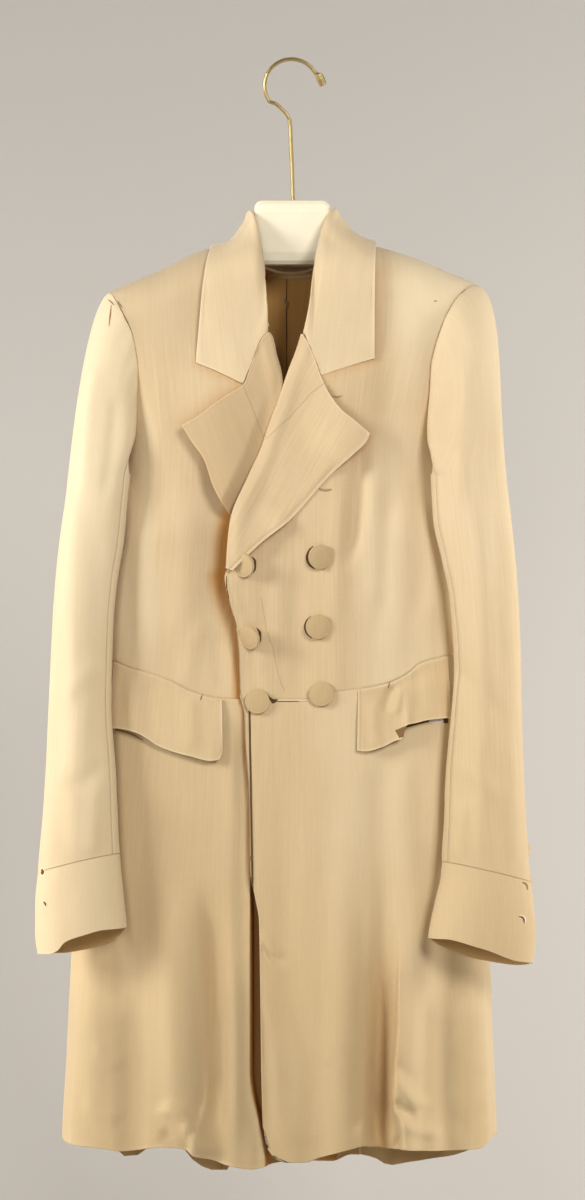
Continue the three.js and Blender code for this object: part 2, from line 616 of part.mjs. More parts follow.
// The gorge and the lower edge, as the fall's end: share of the way out, x, height
const gorgeRight = smooth([[0, -23.5, -271.5], [0.2, -30, -282], [0.42, -40, -308], [0.6, -48.5, -322.5], [0.8, -71, -313], [1, -94, -303]]);
const gorgeLeft = smooth([[0, 11.6, -273.5], [0.2, 18, -284], [0.38, 22.5, -296], [0.55, 29, -315], [0.78, 56, -307.5], [1, 82.8, -299]]);
const stations = range(30).map((t) => t * 20);
const collar = stations.map((k) => {
  const v = (c) => collarAt(k, c);
  const fold = new THREE.Vector3(v(1), v(2), v(3) - hang);
  const neck = new THREE.Vector3(neckAt(k, 1), neckAt(k, 2), neckAt(k, 3));
  const isFront = k < 5.9 || k > 14.1;
  const low = k < 10 ? 1 - ramp(k, 0, 4) : ramp(k, 16, 20);
  const gorge = k < 10 ? gorgeRight : gorgeLeft;
  const rest = 1.6 + wall; // the fall's middle stands at least this far off the body
  const outer = isFront ? front(v(5), v(7), rest) : new THREE.Vector3(v(5), v(6), v(7) - hang);
  const bend = new THREE.Vector3(bendAt(k, 1), bendAt(k, 2), bendAt(k, 3));
  const fall = [0.16, 0.36, 0.58, 0.8, 1].map((t) => {
    const straight = fold.clone().lerp(outer, t).addScaledVector(bend, 2 * t * (1 - t));
    const over = shoulder(straight.x) - hang + 3.4;
    if (k > 5 && k < 15 && Math.abs(straight.y) < 18) straight.z = Math.max(straight.z, over);
    if (low > 0) {
      straight.x += low * (gorge(t, 1) - lerp(v(1), v(5), t));
      straight.z += low * (gorge(t, 2) - lerp(v(3), v(7), t));
    }
    const z = straight.z + hang;
    if (isFront && z < shoulder(straight.x) - 1) {
      const at = [angleOf(straight.x, z), heightOf(straight.x, z)];
      straight.y = Math.min(straight.y, form(...at).y + rest / Math.min(-0.35, formNormal(...at).y));
    }
    return straight;
  });
  const mouth = fall[0].clone().sub(neck);
  const tip = fold.clone().sub(fall[0].clone().add(neck).multiplyScalar(0.5)).normalize();
  const across = mouth.addScaledVector(tip, -mouth.dot(tip)).normalize();
  const inside = fold.clone().addScaledVector(tip, -3).addScaledVector(across, -2);
  const outside = fold.clone().addScaledVector(tip, -3).addScaledVector(across, 2);
  return [neck, neck.clone().lerp(inside, 0.5), inside, fold.clone().addScaledVector(tip, -wall / 2), outside, ...fall];
});
fromMiddle("collar", collar);

// ---- Pocket flaps ----

// x, height of the lower edge, how far it stands off
const flapRight = smooth([
  [-176, -668, 3], [-165, -669.6, 4], [-153, -673, 5], [-143, -678.7, 4], [-133, -685.6, 3], [-113, -693, 3],
  [-101, -696, 4], [-81, -700.5, 4], [-72, -699, 2], [-69, -690, 1],
]);
const flapLeft = smooth([
  [67, -690, 2], [75, -691, 3], [92, -686.6, 4], [104, -680.6, 5], [111, -678, 7], [115, -665, 9],
  [124, -663, 6], [136, -660, 5], [156, -658, 4],
]);
for (const side of ["right", "left"]) {
  const [x0, x1, edge] = side === "right" ? [-176, -69, flapRight] : [67, 156, flapLeft];
  onForm("flap_" + side, range(4).map((v) =>
    range(12).map((t) => {
      const x = lerp(x0, x1, t);
      const w = lerp(waistFront(x) - 1.5, edge(x, 1), v);
      const swing = side === "right" ? 1 * v : -1 * v;
      const under = folds(x, w, true) + (side === "left" ? over(x, w) : 0);
      return [angleOf(x + swing, w), w, under + 0.9 + wall + edge(x, 2) * v * v + 1.2 * v];
    }),
  ));
}

// ---- Buttons ----

function spin(profile, segments) {
  const points = [];
  const faces = [];
  const rows = profile.map(([r, z]) => {
    if (r < 1e-6) return [points.push(new THREE.Vector3(0, 0, z)) - 1];
    return range(segments).slice(1).map((t) => {
      const a = t * 2 * Math.PI;
      return points.push(new THREE.Vector3(r * Math.cos(a), r * Math.sin(a), z)) - 1;
    });
  });
  for (let i = 0; i < rows.length - 1; i++)
    for (let j = 0; j < segments; j++) {
      const a = rows[i];
      const b = rows[i + 1];
      const n = (j + 1) % segments;
      if (a.length > 1) faces.push([a[j], a[n], b[b.length > 1 ? n : 0]]);
      if (b.length > 1) faces.push([a[a.length > 1 ? j : 0], b[n], b[j]]);
    }
  return { points, faces };
}
const button = [[0, 0], [2.2, 0], [2.2, 3], [11.4, 3], [12.3, 4], [12.2, 5.4], [10.6, 6.8], [5.5, 7.5], [0, 7.7]];
const small = [[0, 0], [1.2, 0], [1.2, 1.6], [6.6, 1.6], [7, 2.4], [6.2, 3.8], [0, 4.3]];
function place(name, profile, segments, at, normal, foot) {
  const { points, faces } = spin(profile, segments);
  const turn = new THREE.Quaternion().setFromUnitVectors(new THREE.Vector3(0, 0, 1), normal);
  points.forEach((p) => p.applyQuaternion(turn).add(at).addScaledVector(normal, foot));
  add(name, points, faces, linen, 0.8);
}
// x, height, lean to the side, lean up
const buttons = [
  [-46.5, -505, -0.1, -0.16], [-42, -577, 0.14, 0], [-33.4, -641.5, 0, 0],
  [29.7, -496.6, 0, 0], [27, -566.4, 0, 0], [26.7, -638, 0, 0],
];
buttons.forEach(([x, z, side, up], i) => {
  const normal = formNormal(angleOf(x, z), z);
  const on = skin(angleOf(x, z), z, over(x, z));
  const tilted = normal.clone().add(new THREE.Vector3(side, 0, up)).normalize();
  place("button_" + (i + 1), button, 14, on, tilted, i < 2 ? 0.9 : 0.4);
});
for (const side of ["right", "left"])
  [-790, -822, -857].forEach((z, i) => {
    const phi = side === "right" ? -0.42 : -0.3;
    const at = ring(side, phi, z);
    const u = ring(side, phi + 0.01, z).sub(ring(side, phi - 0.01, z));
    const w = ring(side, phi, z + 1).sub(ring(side, phi, z - 1));
    const normal = u.cross(w).normalize();
    if (normal.x * at.x < 0) normal.negate();
    place("cuff_button_" + side + "_" + (i + 1), small, 8, at, normal, -0.1);
  });

// ---- Hanger ----

const block = { x0: -37, x1: 39.5, top: -140.3, foot: -206.5, front: -15, back: 19, corner: 8 };
const armEnd = { right: -158, left: 166 };
function hangerBody() {
  // x, top, foot, half depth, middle y
  const list = [];
  const arm = (x, shrink) => {
    const top = Math.min(shoulder(x) - hang - wall - 3, -184);
    const tall = lerp(34, 20, clamp((Math.abs(x) - 40) / 120, 0, 1));
    list.push([x, top - (1 - shrink) * tall * 0.4, top - tall + (1 - shrink) * tall * 0.4, 19 * shrink, 2]);
  };
  for (const [x, f] of [[-158, 0.15], [-157, 0.45], [-154, 0.7], [-149, 0.9], [-140, 1]]) arm(x, f);
  for (const x of [-125, -105, -85, -65, -50, -42, -37.6]) arm(x, 1);
  const mid = (block.front + block.back) / 2;
  const half = (block.back - block.front) / 2;
  for (const a of range(4)) {
    const c = block.corner * (1 - Math.cos((a * Math.PI) / 2));
    const x = block.x0 + c;
    const up = block.top - block.corner * (1 - Math.sin((a * Math.PI) / 2));
    list.push([x, up, block.foot, half - 3 * (1 - Math.sin((a * Math.PI) / 2)), mid]);
  }
  for (const a of range(4).reverse()) {
    const c = block.corner * (1 - Math.cos((a * Math.PI) / 2));
    const up = block.top - block.corner * (1 - Math.sin((a * Math.PI) / 2));
    list.push([block.x1 - c, up, block.foot, half - 3 * (1 - Math.sin((a * Math.PI) / 2)), mid]);
  }
  for (const x of [40.1, 45, 52, 65, 85, 105, 125, 148]) arm(x, 1);
  for (const [x, f] of [[157, 0.9], [162, 0.7], [165, 0.45], [166, 0.15]]) arm(x, f);
  const sides = 14;
  const points = [];
  const faces = [];
  list.forEach(([x, top, foot, half, y]) => {
    const isBlock = x >= block.x0 && x <= block.x1;
    const e = isBlock ? 2 / 6 : 2 / 2.3;
    for (let j = 0; j < sides; j++) {
      const a = ((j + 0.5) / sides) * 2 * Math.PI;
      const C = Math.cos(a);
      const S = Math.sin(a);
      points.push(new THREE.Vector3(
        x, y + half * Math.sign(C) * Math.abs(C) ** e,
        (top + foot) / 2 + ((top - foot) / 2) * Math.sign(S) * Math.abs(S) ** e,
      ));
    }
  });
  for (let i = 0; i < list.length - 1; i++)
    for (let j = 0; j < sides; j++) {
      const n = (j + 1) % sides;
      faces.push([i * sides + j, i * sides + n, (i + 1) * sides + n]);
      faces.push([i * sides + j, (i + 1) * sides + n, (i + 1) * sides + j]);
    }
  for (const i of [0, list.length - 1])
    for (let j = 1; j < sides - 1; j++) {
      const f = [i * sides, i * sides + j, i * sides + j + 1];
      faces.push(i ? f : [f[0], f[2], f[1]]);
    }
  add("hanger_body", points, faces, ivory, 0.45);
}
hangerBody();

// The hook: a loop, a bend back to the middle and a straight shank; the last 13 mm carry a cap.
const wire = 2;
const loop = { x: 0.5, z: -25.2, r: 25.2 + 0 };
function hook() {
  const path3 = [];
  const put = (x, z, r = wire) => path3.push([new THREE.Vector3(x, 0, z), r]);
  put(2, block.top + 0.3);
  put(1.2, -110);
  put(0, -85);
  put(-0.6, -66);
  put(-1.6, -59);
  put(-4.6, -53.4);
  put(-10, -47.5);
  put(-16, -42.6);
  for (const t of range(15)) {
    const a = lerp(Math.PI * 1.2, Math.PI * 0.16, t);
    put(loop.x + (loop.r + wire) * Math.cos(a), loop.z + (loop.r + wire) * Math.sin(a));
  }
  put(27.2, -13.4, wire);
  put(27.8, -14, 4);
  put(30, -18.6, 4.3);
  put(32, -24, 4);
  put(32.4, -24.8, 2.4);
  const sides = 8;
  const points = [];
  const faces = [];
  path3.forEach(([p, r], i) => {
    const a = path3[Math.max(0, i - 1)][0];
    const b = path3[Math.min(path3.length - 1, i + 1)][0];
    const t = b.clone().sub(a).normalize();
    const side = new THREE.Vector3(0, 1, 0);
    const up = t.clone().cross(side);
    for (let j = 0; j < sides; j++) {
      const ang = (j / sides) * 2 * Math.PI;
      points.push(p.clone().addScaledVector(side, r * Math.cos(ang)).addScaledVector(up, r * Math.sin(ang)));
    }
  });
  for (let i = 0; i < path3.length - 1; i++)
    for (let j = 0; j < sides; j++) {
      const n = (j + 1) % sides;
      faces.push([i * sides + j, i * sides + n, (i + 1) * sides + n]);
      faces.push([i * sides + j, (i + 1) * sides + n, (i + 1) * sides + j]);
    }
  for (const i of [0, path3.length - 1])
    for (let j = 1; j < sides - 1; j++) {
      const f = [i * sides, i * sides + j, i * sides + j + 1];
      faces.push(i ? f : [f[0], f[2], f[1]]);
    }
  add("hanger_hook", points, faces, brass, 0.3);
}
hook();

export default group;
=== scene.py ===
import json
import math
import bpy
import numpy as np
from mathutils import Matrix, Vector
from mathutils.bvhtree import BVHTree

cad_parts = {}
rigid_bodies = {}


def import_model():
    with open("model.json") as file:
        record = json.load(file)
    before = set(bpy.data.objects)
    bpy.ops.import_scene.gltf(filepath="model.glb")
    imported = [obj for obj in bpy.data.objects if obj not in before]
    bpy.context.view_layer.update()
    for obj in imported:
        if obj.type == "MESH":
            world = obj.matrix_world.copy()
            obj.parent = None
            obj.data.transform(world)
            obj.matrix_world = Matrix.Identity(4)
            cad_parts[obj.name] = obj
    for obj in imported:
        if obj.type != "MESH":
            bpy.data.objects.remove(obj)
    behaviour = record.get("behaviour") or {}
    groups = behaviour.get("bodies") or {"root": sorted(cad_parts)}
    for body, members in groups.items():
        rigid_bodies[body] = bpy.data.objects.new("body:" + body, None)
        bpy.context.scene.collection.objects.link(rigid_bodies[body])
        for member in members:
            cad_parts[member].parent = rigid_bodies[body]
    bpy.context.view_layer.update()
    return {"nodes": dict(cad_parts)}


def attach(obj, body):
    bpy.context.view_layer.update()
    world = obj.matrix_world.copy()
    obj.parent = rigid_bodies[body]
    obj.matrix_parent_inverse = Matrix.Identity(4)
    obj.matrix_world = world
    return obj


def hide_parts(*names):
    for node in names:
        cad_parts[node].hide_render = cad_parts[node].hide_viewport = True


# A double breasted linen frock coat on its hanger. Tables are in millimetres, meshes in metres.
# "right" and "left" are the wearer's, so right is at -X. The front faces -Y.
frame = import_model()
for thing in bpy.data.objects:
    thing.select_set(False)
print("frame loaded")

mm = 0.001
farAway = 99.0   # a distance at which no stitch or seam line shows
cloth = {
    "wall": 1.6,        # thickness
    "hang": 3,          # the tables start this far under the hook
    "roundness": 2.4,   # of the body's level sections
    "ridge": 42,        # how deep the shoulder's rounding goes
    "seamBack": 0.42,   # radians the shoulder seam lies behind the top
    "overlap": 5,       # how far the left front stands over the right
    "groove": 0.24,     # depth of a seam line
    "pucker": 0.45,     # of the cloth beside a seam
    "drape": 1.8,       # strength of all the soft creases
    "bulge": 0.1,       # how far a wall's edge is rounded, in walls
    "parting": 0.08,    # what each edge gives up to its seam
    "edgeDent": 0.35,   # depth of the stitching inside an edge
    "slack": 0.42,      # slow unevenness
    "edgeHighlight": 0.6,      # how much painted highlight lies along the edges of collar, lapels and flaps
}
wall, hang, ridge = cloth["wall"], cloth["hang"], cloth["ridge"]
stitchIn = {"seam": 0.6, "edge": 3.2}   # how far inside an edge its stitches run


def lerp(a, b, t):
    return a + (b - a) * t


def ramp(x, a, b):
    t = np.clip((np.asarray(x, float) - a) / (b - a), 0, 1)
    return t * t * (3 - 2 * t)


# A bell over d, 1 at its middle
def bell(d, reach):
    return np.exp(-(d / reach) ** 2)


# A smooth curve through rows of key, value, value ... that never overshoots them
def smooth(rows):
    r = np.array(rows, float)
    if r[0, 0] > r[-1, 0]:
        r = r[::-1]
    key, val = r[:, 0], r[:, 1:]
    d = np.diff(val, axis=0) / np.diff(key)[:, None]
    slope = np.zeros_like(val)
    slope[0], slope[-1] = d[0], d[-1]
    both = d[:-1] * d[1:]
    slope[1:-1] = np.where(both > 0, 2 * both / np.where(both > 0, d[:-1] + d[1:], 1), 0)

    def at(k, c=1):
        q = np.clip(np.asarray(k, float), key[0], key[-1])
        i = np.clip(np.searchsorted(key, q, side="right") - 1, 0, len(key) - 2)
        h = key[i + 1] - key[i]
        t = (q - key[i]) / h
        c -= 1
        return ((2 * t**3 - 3 * t**2 + 1) * val[i, c] + (t**3 - 2 * t**2 + t) * h * slope[i, c]
                + (3 * t**2 - 2 * t**3) * val[i + 1, c] + (t**3 - t**2) * h * slope[i + 1, c])
    return at


# Length along a row of points, from 0
def lengthAlong(points):
    return np.concatenate([[0], np.cumsum(np.linalg.norm(np.diff(points, axis=0), axis=1))])


# A smooth line by length, 0 to 1, through points
def trace(points):
    p = np.array(points, float)
    far = lengthAlong(p)
    f = smooth(np.column_stack([far / far[-1], p]))
    return lambda t: np.stack([f(t, c + 1) for c in range(p.shape[1])], -1)


# Uneven ripples along a seam, from -1 to 1
def ripple(s, seed):
    return (np.sin(s / 2.3 + seed * 1.7) + 0.8 * np.sin(s / 3.9 + seed * 2.9 + 1)
            + 0.7 * np.sin(s / 6.1 + seed)) / 2.5


# Equal steps with two short ones at each end, so that edges are crisp
def steps(*counts):
    t = [0.0]
    for k, n in enumerate(counts):
        t += [k + (i + 1) / n for i in range(n)]
    a, b = t[1] - t[0], t[-1] - t[-2]
    t = [t[0], t[0] + 0.2 * a, t[0] + 0.55 * a] + t[1:-1] + [t[-1] - 0.55 * b, t[-1] - 0.2 * b, t[-1]]
    return np.array(t)


# The body's form
body = smooth([  # height, right side x, left side x, front depth, back depth
    [-1125, -233, 210, 72, 76], [-1070, -230, 207, 70, 74], [-1000, -225, 204, 68, 70],
    [-895, -220, 200, 64, 66], [-800, -211, 192, 61, 61], [-700, -200, 184, 58, 55],
    [-600, -189, 176, 56, 50], [-500, -182, 171, 59, 52], [-430, -175, 167, 62, 55],
    [-390, -173, 166, 63, 57], [-330, -180, 178, 63, 58], [-260, -190, 195, 60, 56],
    [-120, -190, 195, 60, 56],
])
shoulder = smooth([  # x, height of the shoulder line
    [-260, -258], [-192, -234.5], [-184, -230.5], [-179, -227.5], [-158, -217.6], [-132, -207.5],
    [-112, -197.6], [-92, -189.5], [-80, -186.5], [-65, -183], [-50, -178.5], [-30, -172.5], [0, -169],
    [30, -170.5], [50, -175], [64, -178.5], [76, -181], [86, -183.5], [101.7, -188], [129, -197.5],
    [153, -207.5], [180, -217.8], [190, -224], [198, -229.5], [260, -259],
])
frontFolds = [  # x at the waist, x at the hem, depth, half width, height where it starts, and is full
    [-88, -76, -9, 24, -780, -1060], [-118, -112, 5, 26, -780, -1060], [-160, -158, -5, 22, -820, -1070],
    [98, 86, -18, 16, -780, -1040], [126, 112, 8, 20, -780, -1000], [60, 52, 4, 26, -700, -1000],
    [10, 22, -4, 24, -760, -1060], [164, 160, -5, 20, -780, -1060],
]
backFolds = [
    [-104, -104, -12, 20, -640, -1000], [-150, -156, 10, 22, -640, -1000], [106, 100, -14, 20, -640, -1000],
    [148, 146, 10, 22, -640, -1000], [-62, -70, 8, 16, -640, -1000], [60, 66, 8, 16, -640, -1000],
]


def folds(x, z, table):
    total = np.zeros_like(np.asarray(x, float))
    for x0, x1, depth, half, start, full in table:
        d = np.abs(x - lerp(x0, x1, np.clip((z + 640) / -460, 0, 1))) / half
        fold = np.where(d < 1, depth * (0.5 + 0.5 * np.cos(np.pi * np.minimum(d, 1))), 0)
        total = total + fold * ramp(z, start, full)
    return total


fronts = {
    "tuck": 22, "lip": 4,   # how far the right skirt's edge sinks behind the left's, and before its fold
    "aside": 15,            # how far that fold runs aside at the hem
    "fall": 9,              # how far the right front sinks under the lapel
    "stand": 6,             # how far the left front's edge stands up
}


# The left front stands over the right
def over(x, z):
    return cloth["overlap"] * ramp(x, 120, 44) * ramp(z, -285, -325)


def foldAside(z):
    return fronts["aside"] * ramp(z, -1010, -1096)


# The right skirt's front edge folds back behind the left's
def tuckedUnder(x, z):
    x = x - foldAside(z) * ramp(x, -60, -36)
    lip = fronts["lip"] * ramp(x, -62, -46) * ramp(z, -636, -700)
    return -fronts["tuck"] * ramp(x, -41.2, -36.5) * ramp(z, -780, -870) - lip


# The right front falls away under the lapel, and the left front's edge stands up off it
def fallsAway(x, z):
    return -fronts["fall"] * ramp(x, -112, -66) * ramp(z, -372, -440) * (1 - 0.75 * ramp(z, -520, -630))


def standsUp(x, z):
    return fronts["stand"] * ramp(x, -18, -54) * ramp(z, -390, -440) * ramp(z, -636, -570)


# The angle round the body at x: the left side is 0, the front pi/2, the right side pi
def angleOf(x, w, front=True):
    c = (body(w, 1) + body(w, 2)) / 2
    t = np.clip((x - c) / (body(w, 2) - c), -1, 1)
    a = np.arccos(np.sign(t) * np.abs(t) ** (cloth["roundness"] / 2))
    return a if front else 2 * np.pi - a


# The sleeves' level sections
sleeveForm = {  # height, outer x, inner x, middle y, half depth
    "right": smooth([
        [-900, -251, -160, -76, 31], [-870, -255, -163, -76, 31], [-840, -254.5, -166, -74, 31],
        [-810, -252, -169, -72, 30], [-760, -247, -172, -67, 29], [-720, -245, -173.5, -64, 29],
        [-640, -242, -178, -59, 28], [-560, -238, -176, -56, 28], [-518, -235, -172.5, -54, 28],
        [-483, -231.5, -167.5, -51, 28], [-437, -225.5, -163.5, -47, 28], [-410, -223, -160.5, -44, 28],
    ]),
    "left": smooth([
        [-905, 239.5, 134, -80, 31], [-870, 242.5, 138, -79, 31], [-840, 241, 144, -77, 31],
        [-815, 238, 149, -75, 30], [-760, 234, 152.5, -70, 29], [-720, 232, 153.6, -67, 29],
        [-640, 229.5, 159, -62, 28], [-590, 228.5, 161, -61, 27], [-540, 226, 158, -61, 26],
        [-500, 223, 150, -61, 26], [-460, 219, 141.5, -61, 26], [-410, 214, 139, -60, 26],
    ]),
}


# The front hangs flatter than the rest wherever no sleeve lies against it
def flatter(x, w):
    c = (body(w, 1) + body(w, 2)) / 2
    u = np.minimum(1, np.abs((x - c) / (body(w, 2) - c)))
    limit = np.where(x < 0, -sleeveForm["right"](w, 2), sleeveForm["left"](w, 2))
    clear = lerp(1 - ramp(np.abs(x) - limit, -6, 14), 1, ramp(w, -905, -960))
    more = (1 - u**4) ** 0.25 - (1 - u ** cloth["roundness"]) ** (1 / cloth["roundness"])
    return body(w, 3) * more * clear * ramp(w, -428, -480) * (1 - ramp(u, 0.95, 1))


# A point of the form, which runs on over the shoulder as an arc
def form(angle, w):
    angle, w = np.broadcast_arrays(np.asarray(angle, float), np.asarray(w, float))
    mid = (body(w, 1) + body(w, 2)) / 2
    c, s = np.cos(angle), np.sin(angle)
    x = mid + (body(w, 2) - mid) * np.sign(c) * np.abs(c) ** (2 / cloth["roundness"])
    top = shoulder(x) - ridge
    turn = np.maximum(0, (w - top) / ridge)
    z = np.where(turn > 0, top + ridge * np.sin(turn), w)
    behind = (s < 0) != (np.cos(turn) < 0)
    deep = np.where(behind, body(w, 4), body(w, 3)) * np.abs(s) ** (2 / cloth["roundness"])
    deep = deep * np.abs(np.cos(turn)) + np.where(behind, 0, flatter(x, w))
    return np.stack([x, np.where(behind, deep, -deep), z - hang], -1)


def unit(v):
    return v / np.maximum(np.linalg.norm(v, axis=-1, keepdims=True), 1e-9)


def formNormal(angle, w):
    a = form(angle + 0.004, w) - form(angle - 0.004, w)
    b = form(angle, w + 0.4) - form(angle, w - 0.4)
    return unit(np.cross(b, a))


def skin(angle, w, off):
    return form(angle, w) + formNormal(angle, w) * np.asarray(off)[..., None]


# How far up the form, along the shoulder's arc, a height lies
def heightOf(x, z):
    t = (z - shoulder(x) + ridge) / ridge
    return np.where(t <= 0, z, shoulder(x) - ridge + ridge * np.arcsin(np.clip(t, 0, 1)))


# A place off the form at x and height
def skinAt(x, z, off):
    return skin(angleOf(x, z), heightOf(x, z), off)


def topOf(x):
    return shoulder(x) - ridge + ridge * np.pi / 2


# Length round the body at chest height, by angle, for the cloth's own coordinates
roundAngles = np.linspace(-0.6, 2 * np.pi + 0.6, 400)
roundLength = lengthAlong(form(roundAngles, np.full(400, -500.0)))

# Creases: x, height and again x, height of the two ends, bow sideways, half width, how much sharper the
# left side of a downward line is, and height of the ridge (a trough is negative)
frontCreases = [
    [-180, -300, -158, -440, 5, 12, 0.7, -2], [-150, -270, -136, -400, -4, 16, 1, 1.8],
    [-120, -260, -128, -420, 6, 22, 1, 1], [-166, -430, -160, -600, 0, 12, 1, -1.6],
    [-146, -470, -150, -600, 2, 15, 1, 1.2], [-104, -440, -118, -590, -6, 20, 1, 1.2],
    [-88, -560, -104, -628, 3, 9, 1, 0.9], [-72, -575, -66, -634, 2, 8, 1, -0.8],
    [70, -372, 56, -505, -4, 8, 1, -4.2], [46, -430, 42, -560, -3, 10, 1, 1.4],
    [80, -400, 82, -560, -4, 12, 1, 1.8], [98, -430, 92, -560, 2, 11, 1.2, -1.4],
    [112, -420, 106, -610, 3, 14, 1, 1.3], [134, -400, 128, -560, -3, 12, 1, -1.3],
    [152, -280, 146, -390, 4, 10, 1, -1.8], [150, -440, 154, -590, -2, 12, 1, -1.8],
    [118, -240, 124, -400, -5, 20, 1, 1.4], [100, -300, 96, -400, 3, 14, 1, -0.9],
    [30, -362, 34, -384, 2, 6, 1, 1.2], [33, -330, 35, -352, 0, 5, 1, -1.6],
    [8, -500, 14, -640, 5, 11, 1, -1.2], [-14, -500, -18, -600, -4, 12, 1, 1.5],
    [-50, -520, -42, -560, 2, 7, 1, -1], [-26, -580, -20, -640, 3, 9, 1, 1.2],
    [44, -540, 46, -640, 3, 12, 1, 1], [-60, -660, -52, -780, 2, 10, 1, 0.9],
    # right skirt
    [-84, -840, -76, -1060, -5, 13, 0.55, -4.6], [-60, -900, -60, -1100, -3, 12, 1, 2.6],
    [-112, -830, -116, -1040, 5, 22, 1, 2.8], [-150, -760, -152, -1080, 5, 18, 1, -2.2],
    [-190, -700, -196, -1060, 5, 16, 1, 1.8], [-132, -1046, -100, -1068, -6, 8, 1, 3.4],
    [-104, -1060, -78, -1090, 5, 7, 1, 3.2], [-128, -1068, -100, -1092, 3, 7, 1, -2.6],
    [-196, -986, -168, -1004, 3, 7, 1, 0.8], [-206, -1040, -170, -1056, 4, 8, 1, 0.9],
    # left skirt
    [22, -700, 30, -1098, 6, 18, 1, 1.3], [-30, -872, -10, -894, 2, 5, 1, 1.2],
    [-29, -886, -6, -902, 2, 4, 1, -1.3], [-28, -940, -23, -1080, -2, 4, 1, -1.2],
    [-14, -980, -6, -1092, 2, 8, 1, 1.1], [2, -900, 12, -990, 3, 9, 1, -0.8],
    [-8, -740, -10, -1098, -3, 12, 1, -1.3], [50, -760, 54, -1090, 4, 16, 1, 1.4],
    [92, -690, 96, -860, 4, 14, 1, -1.4], [76, -860, 78, -1084, -4, 14, 1, -2.2],
    [116, -690, 118, -820, 3, 12, 1, 1.4], [106, -900, 104, -1070, 3, 7, 0.8, 3.4],
    [146, -760, 150, -1084, -4, 16, 1, -1.8], [182, -720, 186, -1080, 3, 15, 1, 1.6],
    [102, -1012, 134, -1044, 4, 7, 1, 2.6], [99, -1040, 124, -1058, -3, 4.5, 1, -3.2],
    [106, -1058, 150, -1072, 3, 6, 1, 2.2], [104, -1000, 126, -1018, 2, 7, 1, -1.3],
    [112, -1078, 98, -1094, 2, 6, 1, -2.2], [70, -1060, 88, -1088, 4, 8, 1, 2],
]
backCreases = [
    [-60, -230, -90, -420, 5, 20, 1, 1.6], [64, -230, 96, -430, -6, 22, 1, 1.5],
    [-30, -420, -36, -600, 3, 15, 1, -1.3], [34, -400, 42, -600, -3, 16, 1, -1.2],
    [-130, -420, -60, -590, -8, 14, 1, 1.5], [130, -430, 64, -590, 9, 14, 1, 1.6],
    [-22, -660, -30, -1100, 4, 14, 1, 2.2], [30, -650, 36, -1100, -4, 15, 1, 2],
    [-88, -700, -86, -1100, 3, 12, 1, -3], [88, -700, 84, -1100, 3, 12, 1, -3],
    [-128, -690, -134, -1100, 5, 14, 1, 2.6], [130, -700, 126, -1100, -5, 14, 1, 2.8],
    [-176, -640, -190, -1090, 5, 16, 1, -2], [172, -640, 178, -1090, -5, 16, 1, -2],
    [10, -240, 4, -330, 2, 14, 1, -1],
]


def creases(x, z, table):
    total = np.zeros_like(x)
    for x0, z0, x1, z1, bow, half, sharp, high in table:
        dx, dz = x1 - x0, z1 - z0
        length = math.hypot(dx, dz)
        t = ((x - x0) * dx + (z - z0) * dz) / length**2
        side = ((x - x0) * dz - (z - z0) * dx) / length - bow * 4 * t * (1 - t)
        wide = np.where(side < 0, half, half * sharp)
        total += high * bell(side, wide) * ramp(t, -0.1, 0.22) * ramp(t, 1.1, 0.78)
    return total


# A fold with a sharp edge: the cloth right of the edge stands forward and the cloth left of it sinks.
# Rows down the edge of x and height, then rise and its reach, sink and its reach, and where it starts
# and is full
pleats = {
    "skirt_left": [
        [[108, -860], [106, -905], [104.2, -970], [99.4, -1030], [101, -1049], [107, -1059], [110, -1073],
         [108.5, -1100]], 9, 32, 6, 17, -850, -990],
    "skirt_right": [
        [[-78, -900], [-84, -1000], [-88, -1040], [-97, -1070],
            [-106, -1100]], 3.5, 20, 1.5, 14, -960, -1060],
}


def pleat(x, z, row):
    edge, rise, reach, sink, sinkReach, start, full = row
    edge = np.array(edge[::-1], float)
    d = x - np.interp(z, edge[:, 1], edge[:, 0])
    step = ramp(d, -1.6, 2.2)
    high = rise * bell(np.maximum(d, 0), reach) * step
    low = sink * bell(np.minimum(d, 0), sinkReach) * (1 - step)
    return (high - low) * ramp(z, start, full)


# Slow unevenness of hanging cloth, longer down than across
def slack(x, z, seed):
    return (np.sin(x / 19 + z / 160 + seed) + np.sin(x / 31 - z / 120 + 2 * seed)
            + 0.6 * np.sin(x / 12 + z / 75 + 3 * seed) + 0.5 * np.sin(z / 38 + x / 60 + seed))


# Meshes
def lengths(p):
    down = np.zeros(p.shape[:2])
    down[1:] = np.cumsum(np.linalg.norm(np.diff(p, axis=0), axis=-1), axis=0)
    across = np.zeros(p.shape[:2])
    across[:, 1:] = np.cumsum(np.linalg.norm(np.diff(p, axis=1), axis=-1), axis=1)
    return down, across


# Painted light on each piece, and below 0 painted shade: amounts to add, each held to where its ranges of x
# or height bring it in
paintedLightTable = {
    "top_sleeve_right": [(0.42,), (0.32, "z", -700, -380)],
    "top_sleeve_left": [(0.06,), (0.2, "z", -700, -450), (0.2, "z", -380, -240)],
    "cuff_right": [(0.45,)], "cuff_left": [(0.05,)], "collar": [(0.32,)], "lapel_right": [(-0.34,)],
    "forepart_left": [
        (0.7, "x", 60, 130, "z", -380, -240), (0.42, "x", 48, 90, "z", -330, -400),
    ],
    "forepart_right": [
        (0.5, "x", -124, -146, "z", -320, -380, "z", -640, -540), (-0.5, "z", -340, -250),
        (0.1, "z", -480, -520), (-0.12, "z", -300, -400, "z", -560, -500),
    ],
    "skirt_left": [
        (0.14, "x", 98, 112, "z", -780, -960), (0.3, "x", -10, 60, "z", -960, -760),
        (-0.2, "x", 80, 40, "z", -900, -1010),
    ],
    "skirt_right": [(-0.26, "z", -860, -1000)],
}
for side in ("right", "left"):
    paintedLightTable["under_sleeve_" + side] = paintedLightTable["top_sleeve_" + side]


